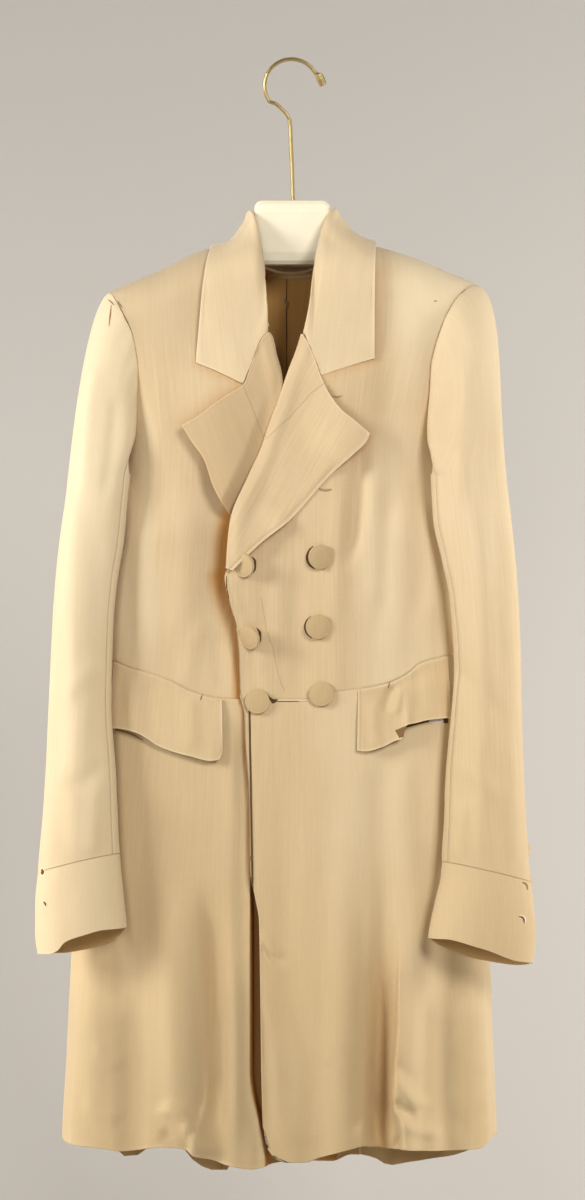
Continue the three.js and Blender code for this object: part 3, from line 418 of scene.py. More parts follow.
def paintedLight(name, x, z):
    paintedLightShade = 0 * x
    for amount, *ranges in paintedLightTable.get(name, []):
        share = 1
        for axis, low, high in zip(ranges[::3], ranges[1::3], ranges[2::3]):
            share = share * ramp(x if axis == "x" else z, low, high)
        paintedLightShade = paintedLightShade + amount * share
    return np.clip(paintedLightShade, -1, 1)


def addObject(name, data):
    thing = bpy.data.objects.new(name, data)
    bpy.context.collection.objects.link(thing)
    return thing


# A closed cloth wall between two grids, with a rounded edge; thread is each point's place in the weave
def makeWall(name, outer, inner, thread, stitch=None, run=None, line=None, deep=None):
    # painted light on this piece, and below 0 painted shade
    paintedLightShade = paintedLight(name, outer[..., 0], outer[..., 2] + hang)
    # a painted highlight along the edges of collar, lapels and flaps
    if name.split("_")[0] in ("lapel", "collar", "flap"):
        edge = np.min(edgeDistances(outer)[0], axis=0)
        paintedLightShade = np.minimum(1, paintedLightShade + cloth["edgeHighlight"] * bell(edge, 1.2))
    rows, cols = outer.shape[:2]
    count = rows * cols
    rim = ([(0, j) for j in range(cols)] + [(i, cols - 1) for i in range(1, rows)]
           + [(rows - 1, j) for j in range(cols - 2, -1, -1)] + [(i, 0) for i in range(rows - 2, 0, -1)])
    ri, rj = np.array(rim).T
    inI, inJ = np.clip(ri, 1, rows - 2), np.clip(rj, 1, cols - 2)
    middle = (outer[ri, rj] + inner[ri, rj]) / 2
    middle = middle + unit(middle - (outer[inI, inJ] + inner[inI, inJ]) / 2) * wall * cloth["bulge"]
    points = np.concatenate([outer.reshape(-1, 3), inner.reshape(-1, 3), middle]) * mm
    grid = np.arange(count).reshape(rows, cols)
    a, b, c, d = [g.ravel() for g in (grid[:-1, :-1], grid[:-1, 1:], grid[1:, 1:], grid[1:, :-1])]
    edge = grid[ri, rj]
    mid = 2 * count + np.arange(len(rim))
    after, midAfter = np.roll(edge, -1), np.roll(mid, -1)
    quads = np.concatenate([np.stack(four, 1) for four in (
        (a, b, c, d), (a + count, d + count, c + count, b + count),
        (edge, mid, midAfter, after), (mid, edge + count, after + count, midAfter))])
    # faces point outwards
    p = points[quads]
    volume = np.einsum("ij,ij->i", p[:, 0], np.cross(p[:, 1], p[:, 2]) + np.cross(p[:, 2], p[:, 3])).sum()
    if volume < 0:
        quads = quads[:, ::-1]
    mesh = bpy.data.meshes.new(name)
    mesh.from_pydata(points.tolist(), [], quads.tolist())
    mesh.polygons.foreach_set("use_smooth", np.ones(len(quads), bool))
    own = np.concatenate([thread.reshape(-1, 2), thread.reshape(-1, 2), thread[ri, rj]]) * mm
    uv = mesh.uv_layers.new(name="thread")
    uv.data.foreach_set("uv", own[quads].astype(np.float32).ravel())
    inside = np.zeros(len(quads), np.int32)
    inside[len(a):2 * len(a)] = 1
    mesh.polygons.foreach_set("material_index", inside)
    # two of these attributes are painted: deep is brown shade in recesses and beside edges, and the other
    # is painted light, below 0 painted shade
    for label, values in [("stitch", stitch), ("run", run), ("line", line), ("beside", line),
                          ("deep", deep), ("paintedLightShade", paintedLightShade)]:
        if values is None:
            values = np.full(outer.shape[:2], 0.0 if label == "deep" else farAway)
        values = np.abs(values) if label == "beside" else values
        within = np.full(count, 0.0 if label == "paintedLightShade" else farAway)
        within = values.ravel() if label in ("run", "deep") else within
        flat = np.concatenate([values.ravel(), within, values[ri, rj]])
        mesh.attributes.new(label, "FLOAT", "POINT").data.foreach_set("value", flat.astype(np.float32))
    mesh.update()
    return addObject(name, mesh)


# Distances to the four edges: first row, last row, first column, last column
def edgeDistances(p):
    down, across = lengths(p)
    return [down, down[-1] - down, across, across[:, -1:] - across], down, across


# Grooves and ripples along seams, and the distance to the nearest line of stitches
def sewn(p, kinds, seed, pucker=1.0):
    near, down, across = edgeDistances(p)
    sink = np.zeros(p.shape[:2])
    stitch = np.full(p.shape[:2], farAway)
    run = np.zeros(p.shape[:2])
    for k, (kind, d) in enumerate(zip(kinds, near)):
        s = across if k < 2 else down
        if kind == "seam":
            sink -= cloth["groove"] * bell(d, 0.7)
            sink += pucker * cloth["pucker"] * ripple(s, seed + k) * np.exp(-d / 8) * (1 - np.exp(-d / 2))
        if kind == "edge":
            sink -= cloth["edgeDent"] * bell(d - stitchIn["edge"], 1.1)
            sink += 0.5 * pucker * cloth["pucker"] * ripple(s / 2, seed + k) * np.exp(-d / 10)
        if kind in stitchIn:
            here = np.abs(d - stitchIn[kind])
            run = np.where(here < stitch, s, run)
            stitch = np.minimum(stitch, here)
    return sink, stitch, run


# Lines of stitching away from the edges, in x and height
seamLines = {
    "lapel_right": [[(-46, -329), (-39, -345), (-26.5, -379.5)]],
    "lapel_left": [[(31.8, -325.5), (20, -334.5), (-0.3, -357.7), (-26, -381)]],
    "forepart_left": [[(-29, -540), (-23, -575), (-18, -588), (-12, -616), (-6, -632)]],
}


# Distance to the nearest of them, with a different sign on each side
def sewnLine(x, w, lines):
    best = np.full(x.shape, farAway)
    for line in lines:
        for (x0, w0), (x1, w1) in zip(line, line[1:]):
            dx, dw = x1 - x0, w1 - w0
            t = np.clip(((x - x0) * dx + (w - w0) * dw) / (dx * dx + dw * dw), 0, 1)
            ex, ew = x - x0 - t * dx, w - w0 - t * dw
            d = np.hypot(ex, ew) * np.where(dx * ew - dw * ex < 0, -1, 1)
            best = np.where(np.abs(d) < np.abs(best), d, best)
    return best


# Painted brown shade where the foreparts go under an edge: the edge's x and height, how far the painted
# shade reaches, and its strength
edgeShade = {
    "forepart_right": [
        [[(-48, -325), (-63, -336), (-76, -345), (-88, -355), (-105.6, -366)], 6, 0.5],
        [[(-105.6, -366), (-97, -381), (-84, -401), (-76, -425.6), (-57.5, -460)], 3.5, 0.5],
        [[(-84, -206), (-90.5, -254), (-94, -303)], 3, 0.3], [[(-94, -303), (-72, -314),
            (-48, -325)], 4, 0.45],
    ],
    "forepart_left": [
        [[(84, -215), (83, -246), (82.8, -299)], 8, 0.42], [[(82.8, -299), (60, -306), (38, -313)], 6, 0.4],
        [[(29.5, -317), (37, -333), (49.7, -350.7), (60.4, -359.6), (76.8, -374)], 5, 0.42],
        [[(76.8, -374), (73.4, -382), (59.6, -395.8)], 9, 0.5],
        [[(-1.3, -460), (-27.7, -480.7), (-42.6, -494.5), (-58, -510)], 2.2, 0.6],
    ],
}


def edgeShadeAt(node, x, w):
    shade = 0 * x
    for line, reach, strength in edgeShade.get(node, []):
        shade = np.maximum(shade, strength * np.exp(-np.abs(sewnLine(x, w, [line])) / reach))
    return shade


# Each sewn piece as it was cut: width and length in metres, flat area, how it is held, what carries it
cuts = {
    "forepart": [(0.29, 0.48), 0.091, "hung", ["hanger_body"]],
    "side_body": [(0.13, 0.25), 0.025, "hung", ["forepart"]],
    "back": [(0.18, 0.95), 0.083, "hung", ["hanger_body"]],
    "skirt": [(0.50, 0.50), 0.230, "hung", ["forepart"]],
    "top_sleeve": [(0.14, 0.62), 0.053, "hung", ["forepart"]],
    "under_sleeve": [(0.15, 0.57), 0.061, "hung", ["back"]],
    "cuff": [(0.25, 0.10), 0.0195, "hung", ["top_sleeve"]],
    "lapel": [(0.13, 0.27), 0.0188, "folded", ["forepart"]],
    "flap": [(0.11, 0.08), 0.0067, "hung", ["skirt"]],
    "collar": [(0.50, 0.12), 0.049, "folded", ["back_right", "back_left"]],
}
pieces = {}


def keep(piece, node, slot="linen"):
    pieces[node] = {"object": piece, "slot": slot}


# A wall on the form from angle, height and offset grids
def onForm(node, a, w, off, kinds, seed, table, draw=(0, 0, 0, 0), flow=1.0, deep=None):
    base = skin(a, w, off)
    n = formNormal(a, w)
    x, z = base[..., 0], base[..., 2] + hang
    sink, stitch, run = sewn(base, kinds, seed)
    move = cloth["slack"] * flow * slack(x, z, seed) + cloth["drape"] * creases(x, z, table)
    near = edgeDistances(base)[0]
    for k, held in enumerate(draw):
        if held:
            move = move * (1 - bell(near[k], held))
    outer = base + n * (move + sink)[..., None]
    inner = base + n * (move - wall)[..., None]
    ends = [np.s_[0, :], np.s_[-1, :], np.s_[:, 0], np.s_[:, -1]]
    inwards = [np.s_[3, :], np.s_[-4, :], np.s_[:, 3], np.s_[:, -4]]
    for kind, end, inward in zip(kinds, ends, inwards):
        if kind == "seam":
            for g in (outer, inner):
                g[end] -= unit(g[inward] - g[end]) * cloth["parting"]
    thread = np.stack([np.interp(a, roundAngles, roundLength), w], -1)
    line = sewnLine(x, z, seamLines[node]) if node in seamLines else None
    # painted shade beside the edges that lie over the foreparts
    if node in edgeShade:
        deep = np.maximum(deep, edgeShadeAt(node, x, z) * ramp(near[3], 6, 20))
    keep(makeWall(node, outer, inner, thread, stitch, run, line, deep), node)


# Seams and edges of the body
waistFront = smooth([  # x, height of the waist seam on the front
    [-200, -594], [-177, -600.7], [-161, -607], [-140, -613], [-119, -620.8], [-96, -631.7], [-70, -638],
    [-51, -639], [14, -639], [39, -632], [66, -629], [85, -625.4], [97, -622.4], [116, -613], [129, -603],
    [146, -598], [159, -595], [190, -592],
])
hemRight = smooth([
    [-236, -1077], [-233, -1079], [-226, -1083], [-183, -1088], [-170, -1089.6], [-126, -1085],
    [-104, -1088], [-97, -1094], [-78, -1098], [-64, -1103], [-39, -1107], [-11, -1101], [46, -1098],
])
hemLeft = smooth([
    [-30, -1060], [-28, -1066], [-24, -1086], [-15, -1096.5], [-7, -1100], [15, -1100], [29, -1095],
    [63, -1086], [72, -1084], [81, -1085], [105, -1087], [150, -1089], [188, -1088], [204, -1077],
    [210, -1075],
])
hemBack = smooth([
    [-236, -1080], [-222, -1088], [-200, -1094], [-178, -1098], [-168, -1106], [-152, -1106], [-144, -1098],
    [-110, -1097], [-100, -1110], [-92, -1116], [-82, -1121], [-66, -1122], [-60, -1114], [-30, -1112],
    [0, -1111], [42, -1112], [60, -1106], [80, -1107], [104, -1114], [120, -1112], [152, -1107],
    [180, -1098], [190, -1089], [197, -1083], [210, -1076],
])
sideBack = smooth([  # height, x where the back meets the side body and the skirt
    [-1125, 70], [-1000, 64], [-700, 54], [-600, 50], [-520, 78], [-450, 116], [-384, 140], [-360, 144],
])
sideSeam = 0.27   # radians before the side where forepart and side body meet
underarm = -386   # height of the armhole there
armRight = smooth([
    [-392, -171], [-386, -167], [-368, -157], [-340, -154], [-309, -152], [-276, -158], [-249, -170],
    [-227, -179], [-209, -182.5], [-180, -183],
])
armLeft = smooth([
    [-392, 164], [-386, 158], [-368, 143], [-340, 138], [-309, 139], [-285, 144], [-262, 152], [-240, 164],
    [-222, 178], [-203, 189], [-180, 190],
])
armBackRight = smooth([
    [-392, -140], [-386, -140], [-360, -141], [-330, -144], [-290, -150], [-262, -158], [-240, -168],
    [-222, -177], [-195, -183],
])
armBackLeft = smooth([
    [-392, 140], [-386, 140], [-360, 140], [-330, 142], [-290, 149], [-262, 159], [-240, 170], [-222, 180],
    [-195, 190],
])
edgeRight = smooth([
    [-645, 46], [-480, 44], [-420, 29], [-370, 9], [-334, -8.6], [-311, -12], [-295, -16.6], [-276, -21],
    [-268, -25], [-255, -31], [-230, -38], [-202, -45], [-150, -51], [-120, -51],
])
edgeLeft = smooth([
    [-645, -50.4], [-595, -51.8], [-570, -54.2], [-538, -62], [-515, -66], [-508, -62.4], [-485, -61],
    [-460, -57.5], [-417, -40.5], [-386, -27], [-370, -21.7], [-334, -8.6], [-311, -0.4], [-286, 8.5],
    [-272, 13], [-258, 22], [-230, 32], [-202, 41], [-150, 51], [-120, 51],
])
skirtEdgeLeft = smooth([
    [-1102, -8], [-1097, -15], [-1087, -24.2], [-1065, -28], [-1003, -29.6], [-931, -30.5], [-860, -31.8],
    [-835, -36], [-810, -40.6], [-740, -41.5], [-680, -45.6], [-651, -46.6], [-637, -50.6],
])
neckline = smooth([[0, 1], [14, 0.96], [28, 0.8], [40, 0.48], [47, 0.2], [51, 0]])


def waist(angle):
    x = form(angle, -610)[..., 0]
    return np.where(np.sin(angle) > 0, waistFront(x), waistFront(np.sign(x) * 190) + 4)


def shoulderEnd(x):
    return topOf(x) + ridge * cloth["seamBack"]


def backEnd(x):
    h = np.sign(x) * np.maximum(51, np.abs(x))
    return lerp(topOf(h) - ridge * cloth["seamBack"], -209, neckline(np.abs(x)))


def settle(start, rule):
    a = start
    for _ in range(18):   # each turn comes closer
        a = rule(a)
    return a


# The angles where the rows' own heights meet an edge whose x is given by height
def meets(edgeX, row, v):
    return settle(np.full(v.shape, np.pi / 2), lambda a: angleOf(edgeX(row(a, v)), row(a, v)))


# Body pieces
loops = {}
for side in ("right", "left"):
    right = side == "right"
    s = -1 if right else 1
    arm, armBack = (armRight, armBackRight) if right else (armLeft, armBackLeft)
    edge = edgeRight if right else edgeLeft
    hemFront = hemRight if right else hemLeft
    seamAngle = np.pi - sideSeam if right else sideSeam

    def backAngle(w, s=s, right=right):
        return angleOf(s * sideBack(w), w, False) - (0 if right else 2 * np.pi)

    # forepart: rows from the waist seam to the shoulder seam, columns from the front edge to the side
    def foreRow(a, v):
        low = lerp(waist(a), underarm, np.minimum(v, 1))
        high = lerp(underarm, shoulderEnd(form(a, -230)[..., 0]), np.maximum(v - 1, 0))
        return np.where(v <= 1, low, high)

    def foreSide(a):
        return np.where(v <= 1, seamAngle, angleOf(arm(foreRow(a, v)), foreRow(a, v)))

    v = steps(56, 62)
    a0 = meets(edge, foreRow, v)
    a1 = settle(np.full(v.shape, seamAngle), foreSide)
    a = a0[:, None] + (a1 - a0)[:, None] * steps(84)
    w = foreRow(a, v[:, None])
    x = form(a, w)[..., 0]
    lift = fallsAway(x, w) if right else over(x, w) + standsUp(x, w)
    # painted brown shade on the right front, deep beside the left front's edge and under the lapel's lower
    # end
    within = edgeLeft(w) - 4 - x
    deep = bell(np.maximum(0, within), 3) * 0.9
    band = ramp(w, -385, -430) * ramp(w, -600, -520)
    deep = np.maximum(deep, band * ramp(within, 19, 2)) * (1 if right else 0) * ramp(w, -360, -400)
    onForm("forepart_" + side, a, w, lift, ["seam", "seam", "edge", "seam"], 1 if right else 2,
           frontCreases, deep=deep)
    foreEdge = [a[v >= 1, -1], w[v >= 1, -1]]

    # side body, from the waist seam to the bottom of the armhole
    v = steps(56)
    t = steps(40)
    end = settle(np.full(v.shape, float(backAngle(-500))), lambda a: backAngle(lerp(waist(a), underarm, v)))
    a = seamAngle + (end - seamAngle)[:, None] * t
    w = lerp(waist(a), (underarm - 7 * np.sin(np.pi * t))[None, :], v[:, None])
    onForm("side_body_" + side, a, w, np.zeros(a.shape), ["seam"] * 4, 3 if right else 4, backCreases)
    sideEdge = [a[-1, 1:-1], w[-1, 1:-1]]

    # back and back skirt in one, from the hem to the shoulder seam and the neck
    waistBack = float(waist(backAngle(-600)))

    def backRow(x, v):
        low = lerp(hemBack(x), waistBack, np.minimum(v, 1))
        mid = lerp(waistBack, underarm, np.clip(v - 1, 0, 1))
        high = lerp(underarm, backEnd(x), np.maximum(v - 2, 0))
        return np.where(v <= 1, low, np.where(v <= 2, mid, high))

    def backSide(x):
        return np.where(v <= 2, s * sideBack(backRow(x, v)), armBack(backRow(x, v)))

    v = steps(80, 44, 56)
    x1 = settle(np.full(v.shape, s * 100.0), backSide)
    x = -4 + (x1 + 4)[:, None] * steps(50)
    w = backRow(x, v[:, None])
    a = angleOf(x, w, False)
    onForm("back_" + side, a, w, folds(x, w, backFolds), ["edge", "seam", "seam", "seam"],
           5 if right else 6, backCreases)
    backEdge = [a[v >= 2, -1][:-1], w[v >= 2, -1][:-1]]

    # skirt: from the hem to the waist seam, from the front edge round the side to the back skirt
    def skirtRow(a, v):
        x = form(a, -1090)[..., 0]
        return lerp(np.where(np.sin(a) > 0, hemFront(x), hemBack(x)), waist(a), v)

    def frontX(w):
        return np.full(np.shape(w), 46.0) if right else skirtEdgeLeft(w)

    v = steps(130)
    a0 = meets(frontX, skirtRow, v)
    a2 = settle(np.full(v.shape, float(backAngle(-900))), lambda a: backAngle(skirtRow(a, v)))
    # more columns where a fold's edge runs down
    ends = angleOf(np.array([-46.0, -20.0] if right else [96.0, 112.0]), np.full(2, -950.0))
    first = float(angleOf(46.0 if right else -30.0, -950.0))
    ends = np.sort((ends - first) / (seamAngle - first))
    t = np.unique(np.concatenate([steps(96, 34), np.linspace(ends[0], ends[1], 34)]))
    a = np.where(t <= 1, a0[:, None] + (seamAngle - a0)[:, None] * np.minimum(t, 1),
                 seamAngle + (a2 - seamAngle)[:, None] * np.maximum(t - 1, 0))
    w = skirtRow(a, v[:, None])
    x = form(a, w)[..., 0]
    out = np.where(np.sin(a) > 0, folds(x, w, frontFolds), folds(x, w, backFolds))
    out = np.minimum(1, np.abs(np.sin(a)) * 3) * out + (tuckedUnder(x, w) if right else over(x, w))
    out = out + pleat(x, w, pleats["skirt_" + side]) * np.where(np.sin(a) > 0.15, 1, 0)
    # painted brown shade: in the right skirt's tucked fold, along the left skirt's edge over it and in a
    # trough; on the left skirt, in the trough of its fold
    if right:
        turned = x - foldAside(w)
        fold = ramp(turned, -41.6, -40.4) * (1 - 0.45 * ramp(turned, -38, -30)) * ramp(w, -770, -850)
        deep = np.maximum(fold, 0.95 * bell(np.maximum(0, skirtEdgeLeft(w) - x), 2.2))
        deep = np.maximum(deep, 0.14 * bell(x + 80, 13) * ramp(w, -800, -940) * ramp(w, -1095, -1040))
    else:
        hollow = lerp(96, 90, np.clip((w + 900) / -200, 0, 1))
        deep = 0.3 * bell(x - hollow, 11) * ramp(w, -830, -980)
    deep = deep * np.where(np.sin(a) > 0, 1, 0)
    onForm("skirt_" + side, a, w, out, ["edge", "seam", "edge", "seam"], 7 if right else 8,
           frontCreases, deep=deep)

    # the armhole, from the shoulder seam down the front, under the arm and up the back
    around = [np.concatenate([foreEdge[k][::-1], sideEdge[k], backEdge[k]]) for k in (0, 1)]
    loops[side] = form(*around)
print("body pieces made")
# Sleeves and cuffs
sleeve = {"headFoot": -415, "vent": -0.12, "ventGap": 0.05}   # a height, then radians round the cuff
sleeveHead = {  # how far it stands away, its tuck over the front of the armhole, fullness, and its seam
    "right": {"away": 21, "tuckAside": 9, "tuckOut": 8, "tuckFoot": 1, "gather": 1.7, "inset": 1},
    "left": {"away": 26, "tuckAside": 23, "tuckOut": 13, "tuckFoot": 8, "gather": 0.6, "inset": 0.5},
}
cuffSeam = {
    "right": lambda p: -802 - 9.5 * np.cos(p) + 3 * np.sin(p),
    "left": lambda p: -810.5 - 10 * np.cos(p) + 3 * np.sin(p),
}
# the cuff's end by the angle round it in degrees: the outer side is 0, the front 90
endAt = {
    "right": smooth([
        [-90, -889.5], [-60, -892.5], [0, -892], [46, -891], [58, -887.5], [70, -879], [90, -873],
        [123, -866.8], [180, -865.5], [217, -875], [246, -884.5], [270, -889.5], [300, -892.5], [360, -892],
        [410, -891],
    ]),
    "left": smooth([
        [-90, -899], [-45, -904], [0, -901], [45, -898], [90, -885], [135, -876], [180, -876], [225, -886],
        [270, -899], [315, -904], [360, -901], [405, -898],
    ]),
}
sleeveCreases = {  # in x and height, on the front; the back has the same ones moved a little
    "right": [
        [-196, -300, -206, -430, 3, 9, 1, 1.6], [-176, -330, -186, -440, -3, 8, 1, -1.4],
        [-212, -420, -216, -620, 3, 11, 1, 1.2], [-190, -460, -196, -700, -3, 12, 1, -1.2],
        [-206, -640, -212, -790, 4, 12, 1, 1.4], [-226, -560, -236, -780, 2, 9, 1, -1.3],
        [-186, -600, -226, -640, 3, 10, 1, 1.1], [-184, -700, -222, -728, -3, 9, 1, -1.1],
        [-192, -720, -196, -800, 3, 9, 1, 1.5], [-230, -700, -240, -800, 2, 9, 1, 1.2],
    ],
    "left": [
        [176, -300, 170, -440, 3, 10, 1, 1.6], [196, -300, 196, -420, -3, 9, 1, -1.4],
        [182, -430, 190, -640, -4, 12, 1, 1.4], [206, -400, 212, -640, 3, 10, 1, -1.2],
        [170, -560, 176, -760, 3, 10, 1, -1.3], [196, -640, 190, -800, 4, 12, 1, 1.5],
        [160, -600, 214, -660, 4, 11, 1, -1.2], [164, -700, 210, -740, -3, 10, 1, 1.2],
        [216, -680, 222, -800, -2, 9, 1, 1.3], [172, -740, 166, -806, 2, 8, 1, 1.5],
    ],
}


def ring(side, phi, z):
    f = sleeveForm[side]
    out, inn = f(z, 1), f(z, 2)
    x = (out + inn) / 2 + (out - inn) / 2 * np.cos(phi)
    return np.stack([x, f(z, 3) - f(z, 4) * np.sin(phi), z - hang + 0 * phi], -1)


# Normals of a grid of points, turned away from the point inside each row
def gridNormals(p, closed=False):
    u = np.gradient(p, axis=0)
    v = (np.roll(p, -1, 1) - np.roll(p, 1, 1)) if closed else np.gradient(p, axis=1)
    n = unit(np.cross(u, v))
    middle = p.mean(axis=1, keepdims=True)
    flip = np.sum(n * (p - middle)) < 0
    return -n if flip else n


for side in ("right", "left"):
    s = -1 if side == "right" else 1
    head = sleeveHead[side]
    start = loops[side]
    start = start[np.concatenate([[True], np.linalg.norm(np.diff(start, axis=0), axis=1) > 0.5])]
    mid = start.mean(axis=0)
    start = start + unit(mid - start) * np.where(start[:, 2] > mid[2], 0.3, 0.5)[:, None] * head["inset"]
    phis = np.unwrap(np.arctan2(-(start[:, 1] + 2) / 44, (start[:, 2] + hang + 318) / 80))
    n = len(start)
    # rows down the head, 0 to 1, and down the tube, 1 to 2
    rows = np.concatenate([np.linspace(0, 1, 46), 1 + np.linspace(0, 1, 101)[1:]])
    rows = np.concatenate([[0, 0.006, 0.014], rows[1:-1], [1.993, 1.998, 2]])
    outer = np.zeros((len(rows), n, 3))
    foot = sleeve["headFoot"]
    c, sn = np.cos(phis), np.sin(phis)
    up = (1 + c) / 2
    tuck = ramp(sn, 0.1, 0.6) * ramp(up, 0.6, 0.15)   # folds over the front of the armhole
    # the head's curve leaves the armhole toward p1 and comes to its foot p3 from p2
    forward = 14 * sn * (0.5 + 0.5 * up) + 20 * (1 - up) ** 3 * ramp(sn, -0.6, 0.1)
    away = head["away"] * up**1.2 + 9 * ramp(sn, 0.3, -0.3) * (1 - up)
    p1 = start + np.stack([s * away, -forward, -8 - 4 * up], -1)
    p3 = ring(side, phis, np.full(n, float(foot)))
    drop = (start[:, 2] - p3[:, 2]) * 0.42
    p2 = p3 + (ring(side, phis, np.full(n, foot - 30.0)) - p3) * (-drop / 30)[:, None]
    p1[:, 0] -= s * head["tuckAside"] * tuck
    p1[:, 1] -= head["tuckOut"] * tuck
    p2[:, 0] -= s * head["tuckFoot"] * tuck
    p2[:, 0] += s * 17 * (1 - up) ** 2 * ramp(sn, 0.35, -0.25)
    for i, r in enumerate(rows):
        if r >= 1:
            outer[i] = ring(side, phis, lerp(foot, cuffSeam[side](phis), r - 1))
        else:
            q = 1 - r
            outer[i] = start * q**3 + 3 * q * q * r * p1 + 3 * q * r * r * p2 + r**3 * p3
    normal = gridNormals(outer, True)
    x, z = outer[..., 0], outer[..., 2] + hang
    facing = ramp(sn, -0.25, 0.3)[None, :]
    move = cloth["drape"] * creases(x, z, sleeveCreases[side]) * facing
    move = move + cloth["drape"] * creases(x + 7 * s, z + 24, sleeveCreases[side]) * (1 - facing)
    move = move + 0.35 * slack(x * 1.2, z, 9 + s)
    near, _, across = edgeDistances(outer)
    # fullness gathered into the armhole
    gather = ripple(across / 1.6, 3 + s) * np.exp(-near[0] / 14) * (1 - np.exp(-near[0] / 3))
    move = move + head["gather"] * gather * ramp(c, -0.6, 0.5)[None, :]
    move = move - 0.2 * bell(near[0], 0.9)
    # drawn in at the cuff's seam
    move = move * (1 - 0.9 * bell(near[1], 8)) - 0.12 * bell(near[1], 0.7)
    move = move + 0.4 * ripple(across, 5 + s) * np.exp(-near[1] / 9) * (1 - np.exp(-near[1] / 2))
    # the two seams down the sleeve
    cutAt = int(np.argmax(phis > 2.5))
    toEnds = np.minimum(across, across[:, -1:] - across)
    seamDistance = np.minimum(np.abs(across - across[:, cutAt:cutAt + 1]), toEnds)
    move = move - 0.3 * bell(seamDistance, 0.9)
    outerFace = outer + normal * move[..., None]
    innerFace = outer + normal * (np.minimum(move, move * 0 + 3) - wall)[..., None]
    thread = np.stack([across, z], -1)
    stitch = np.minimum(np.minimum(near[0], near[1]), seamDistance)
    for node, first, last in (("top_sleeve_", 0, cutAt), ("under_sleeve_", cutAt, n)):
        pick = np.arange(first, last + 1) % n
        th = thread[:, pick].copy()
        if last == n:
            th[:, -1, 0] = across[:, -1] + np.linalg.norm(outer[:, 0] - outer[:, -1], axis=-1)
        keep(makeWall(node + side, outerFace[:, pick], innerFace[:, pick], th, stitch[:, pick],
                      across[:, pick] + z[:, pick]), node + side)

    # the cuff goes on down from the sleeve, open along the vent
    gapped = sleeve["ventGap"]
    phi = sleeve["vent"] + gapped + steps(120) * (2 * np.pi - 2 * gapped)
    v = steps(30)
    top = cuffSeam[side](phi) - 0.4
    z = top[None, :] + (endAt[side](np.degrees(phi)) - top)[None, :] * v[:, None]
    p = ring(side, np.broadcast_to(phi, z.shape), z)
    normal = gridNormals(p)
    sink, stitch, run = sewn(p, ["seam", "edge", "edge", "edge"], 11 + s)
    across = edgeDistances(p)[2]
    move = 0.5 * sink + 0.35 * slack(p[..., 0] * 2, z, 4 + s) * ramp(v, 0, 0.5)[:, None]
    move = move + 0.9 * np.sin(across / 17 + s) * ramp(v, 0.2, 1)[:, None]
    keep(makeWall("cuff_" + side, p + normal * move[..., None], p + normal * (move - wall)[..., None],
                  np.stack([across, z], -1), stitch, run), "cuff_" + side)
print("sleeves made")

# Lapels: the four edges in x and height, how high they rest and stand, and the turn of the grain
lapels = {
    "right": {
        "top": [[-23, -273], [-30, -281], [-40.5, -308], [-47, -325], [-63, -336], [-76, -345], [-88, -355],
            [-105.6, -366]],
        "inner": [[-23, -273], [-20, -277], [-16, -295], [-11.6, -311], [-8.2, -334], [9.4, -370],
            [29, -420], [43, -478], [45, -508]],
        "outer": [[-105.6, -366], [-97, -381], [-84, -401], [-76, -425.6], [-57.5, -460], [-20, -495],
            [40, -516]],
        "bottom": [[45, -508], [40, -516]],
        "rest": 0.9, "stands": 13, "turnIn": 0.7, "grain": 0.35,
    },
    "left": {
        "top": [[11.6, -275], [17.6, -285], [22, -295], [29.5, -317], [37, -333], [49.7, -350.7],
            [60.4, -359.6], [76.8, -374]],
        "inner": [[11.6, -275], [8.1, -287], [-0.8, -311], [-8.8, -334.6], [-22, -370], [-27, -386],
            [-41, -417], [-58, -460],
                  [-61.4, -485], [-62.8, -508]],
        "outer": [[76.8, -374], [73.4, -382], [59.6, -395.8], [39, -415], [-1.3, -460], [-27.7, -480.7],
            [-42.6, -494.5], [-58, -510]],
        "bottom": [[-62.8, -508], [-58, -510]],
        "rest": 1, "stands": 9, "turnIn": 1, "grain": -0.5,
    },
}
lapelRoll = {"high": 2.2, "reach": 9}   # of the soft roll along the fold
# Columns that carry the fold back inside the front edge: how far aside and off for the outer face, and
# the same for the inner
turnBack = [(-5, -4.6, -5, -3.2), (-1.5, -4.2, -2.5, -2.9), (1.2, -3.0, -0.2, -2.2), (2.1, -1.2, 0.6, -0.8),
            (1.6, 0.9, 0.4, 0.3)]


# A grid between a lapel's four edges
def patch(l, s, t):
    top, bottom, inner, outer = trace(l["top"]), trace(l["bottom"]), trace(l["inner"]), trace(l["outer"])
    a, b = inner(s), outer(s)
    t3, s3 = t[..., None], s[..., None]
    corner = lerp(lerp(inner(0.0), outer(0.0), t3), lerp(inner(1.0), outer(1.0), t3), s3)
    return lerp(a, b, t3) + lerp(top(t), bottom(t), s3) - corner


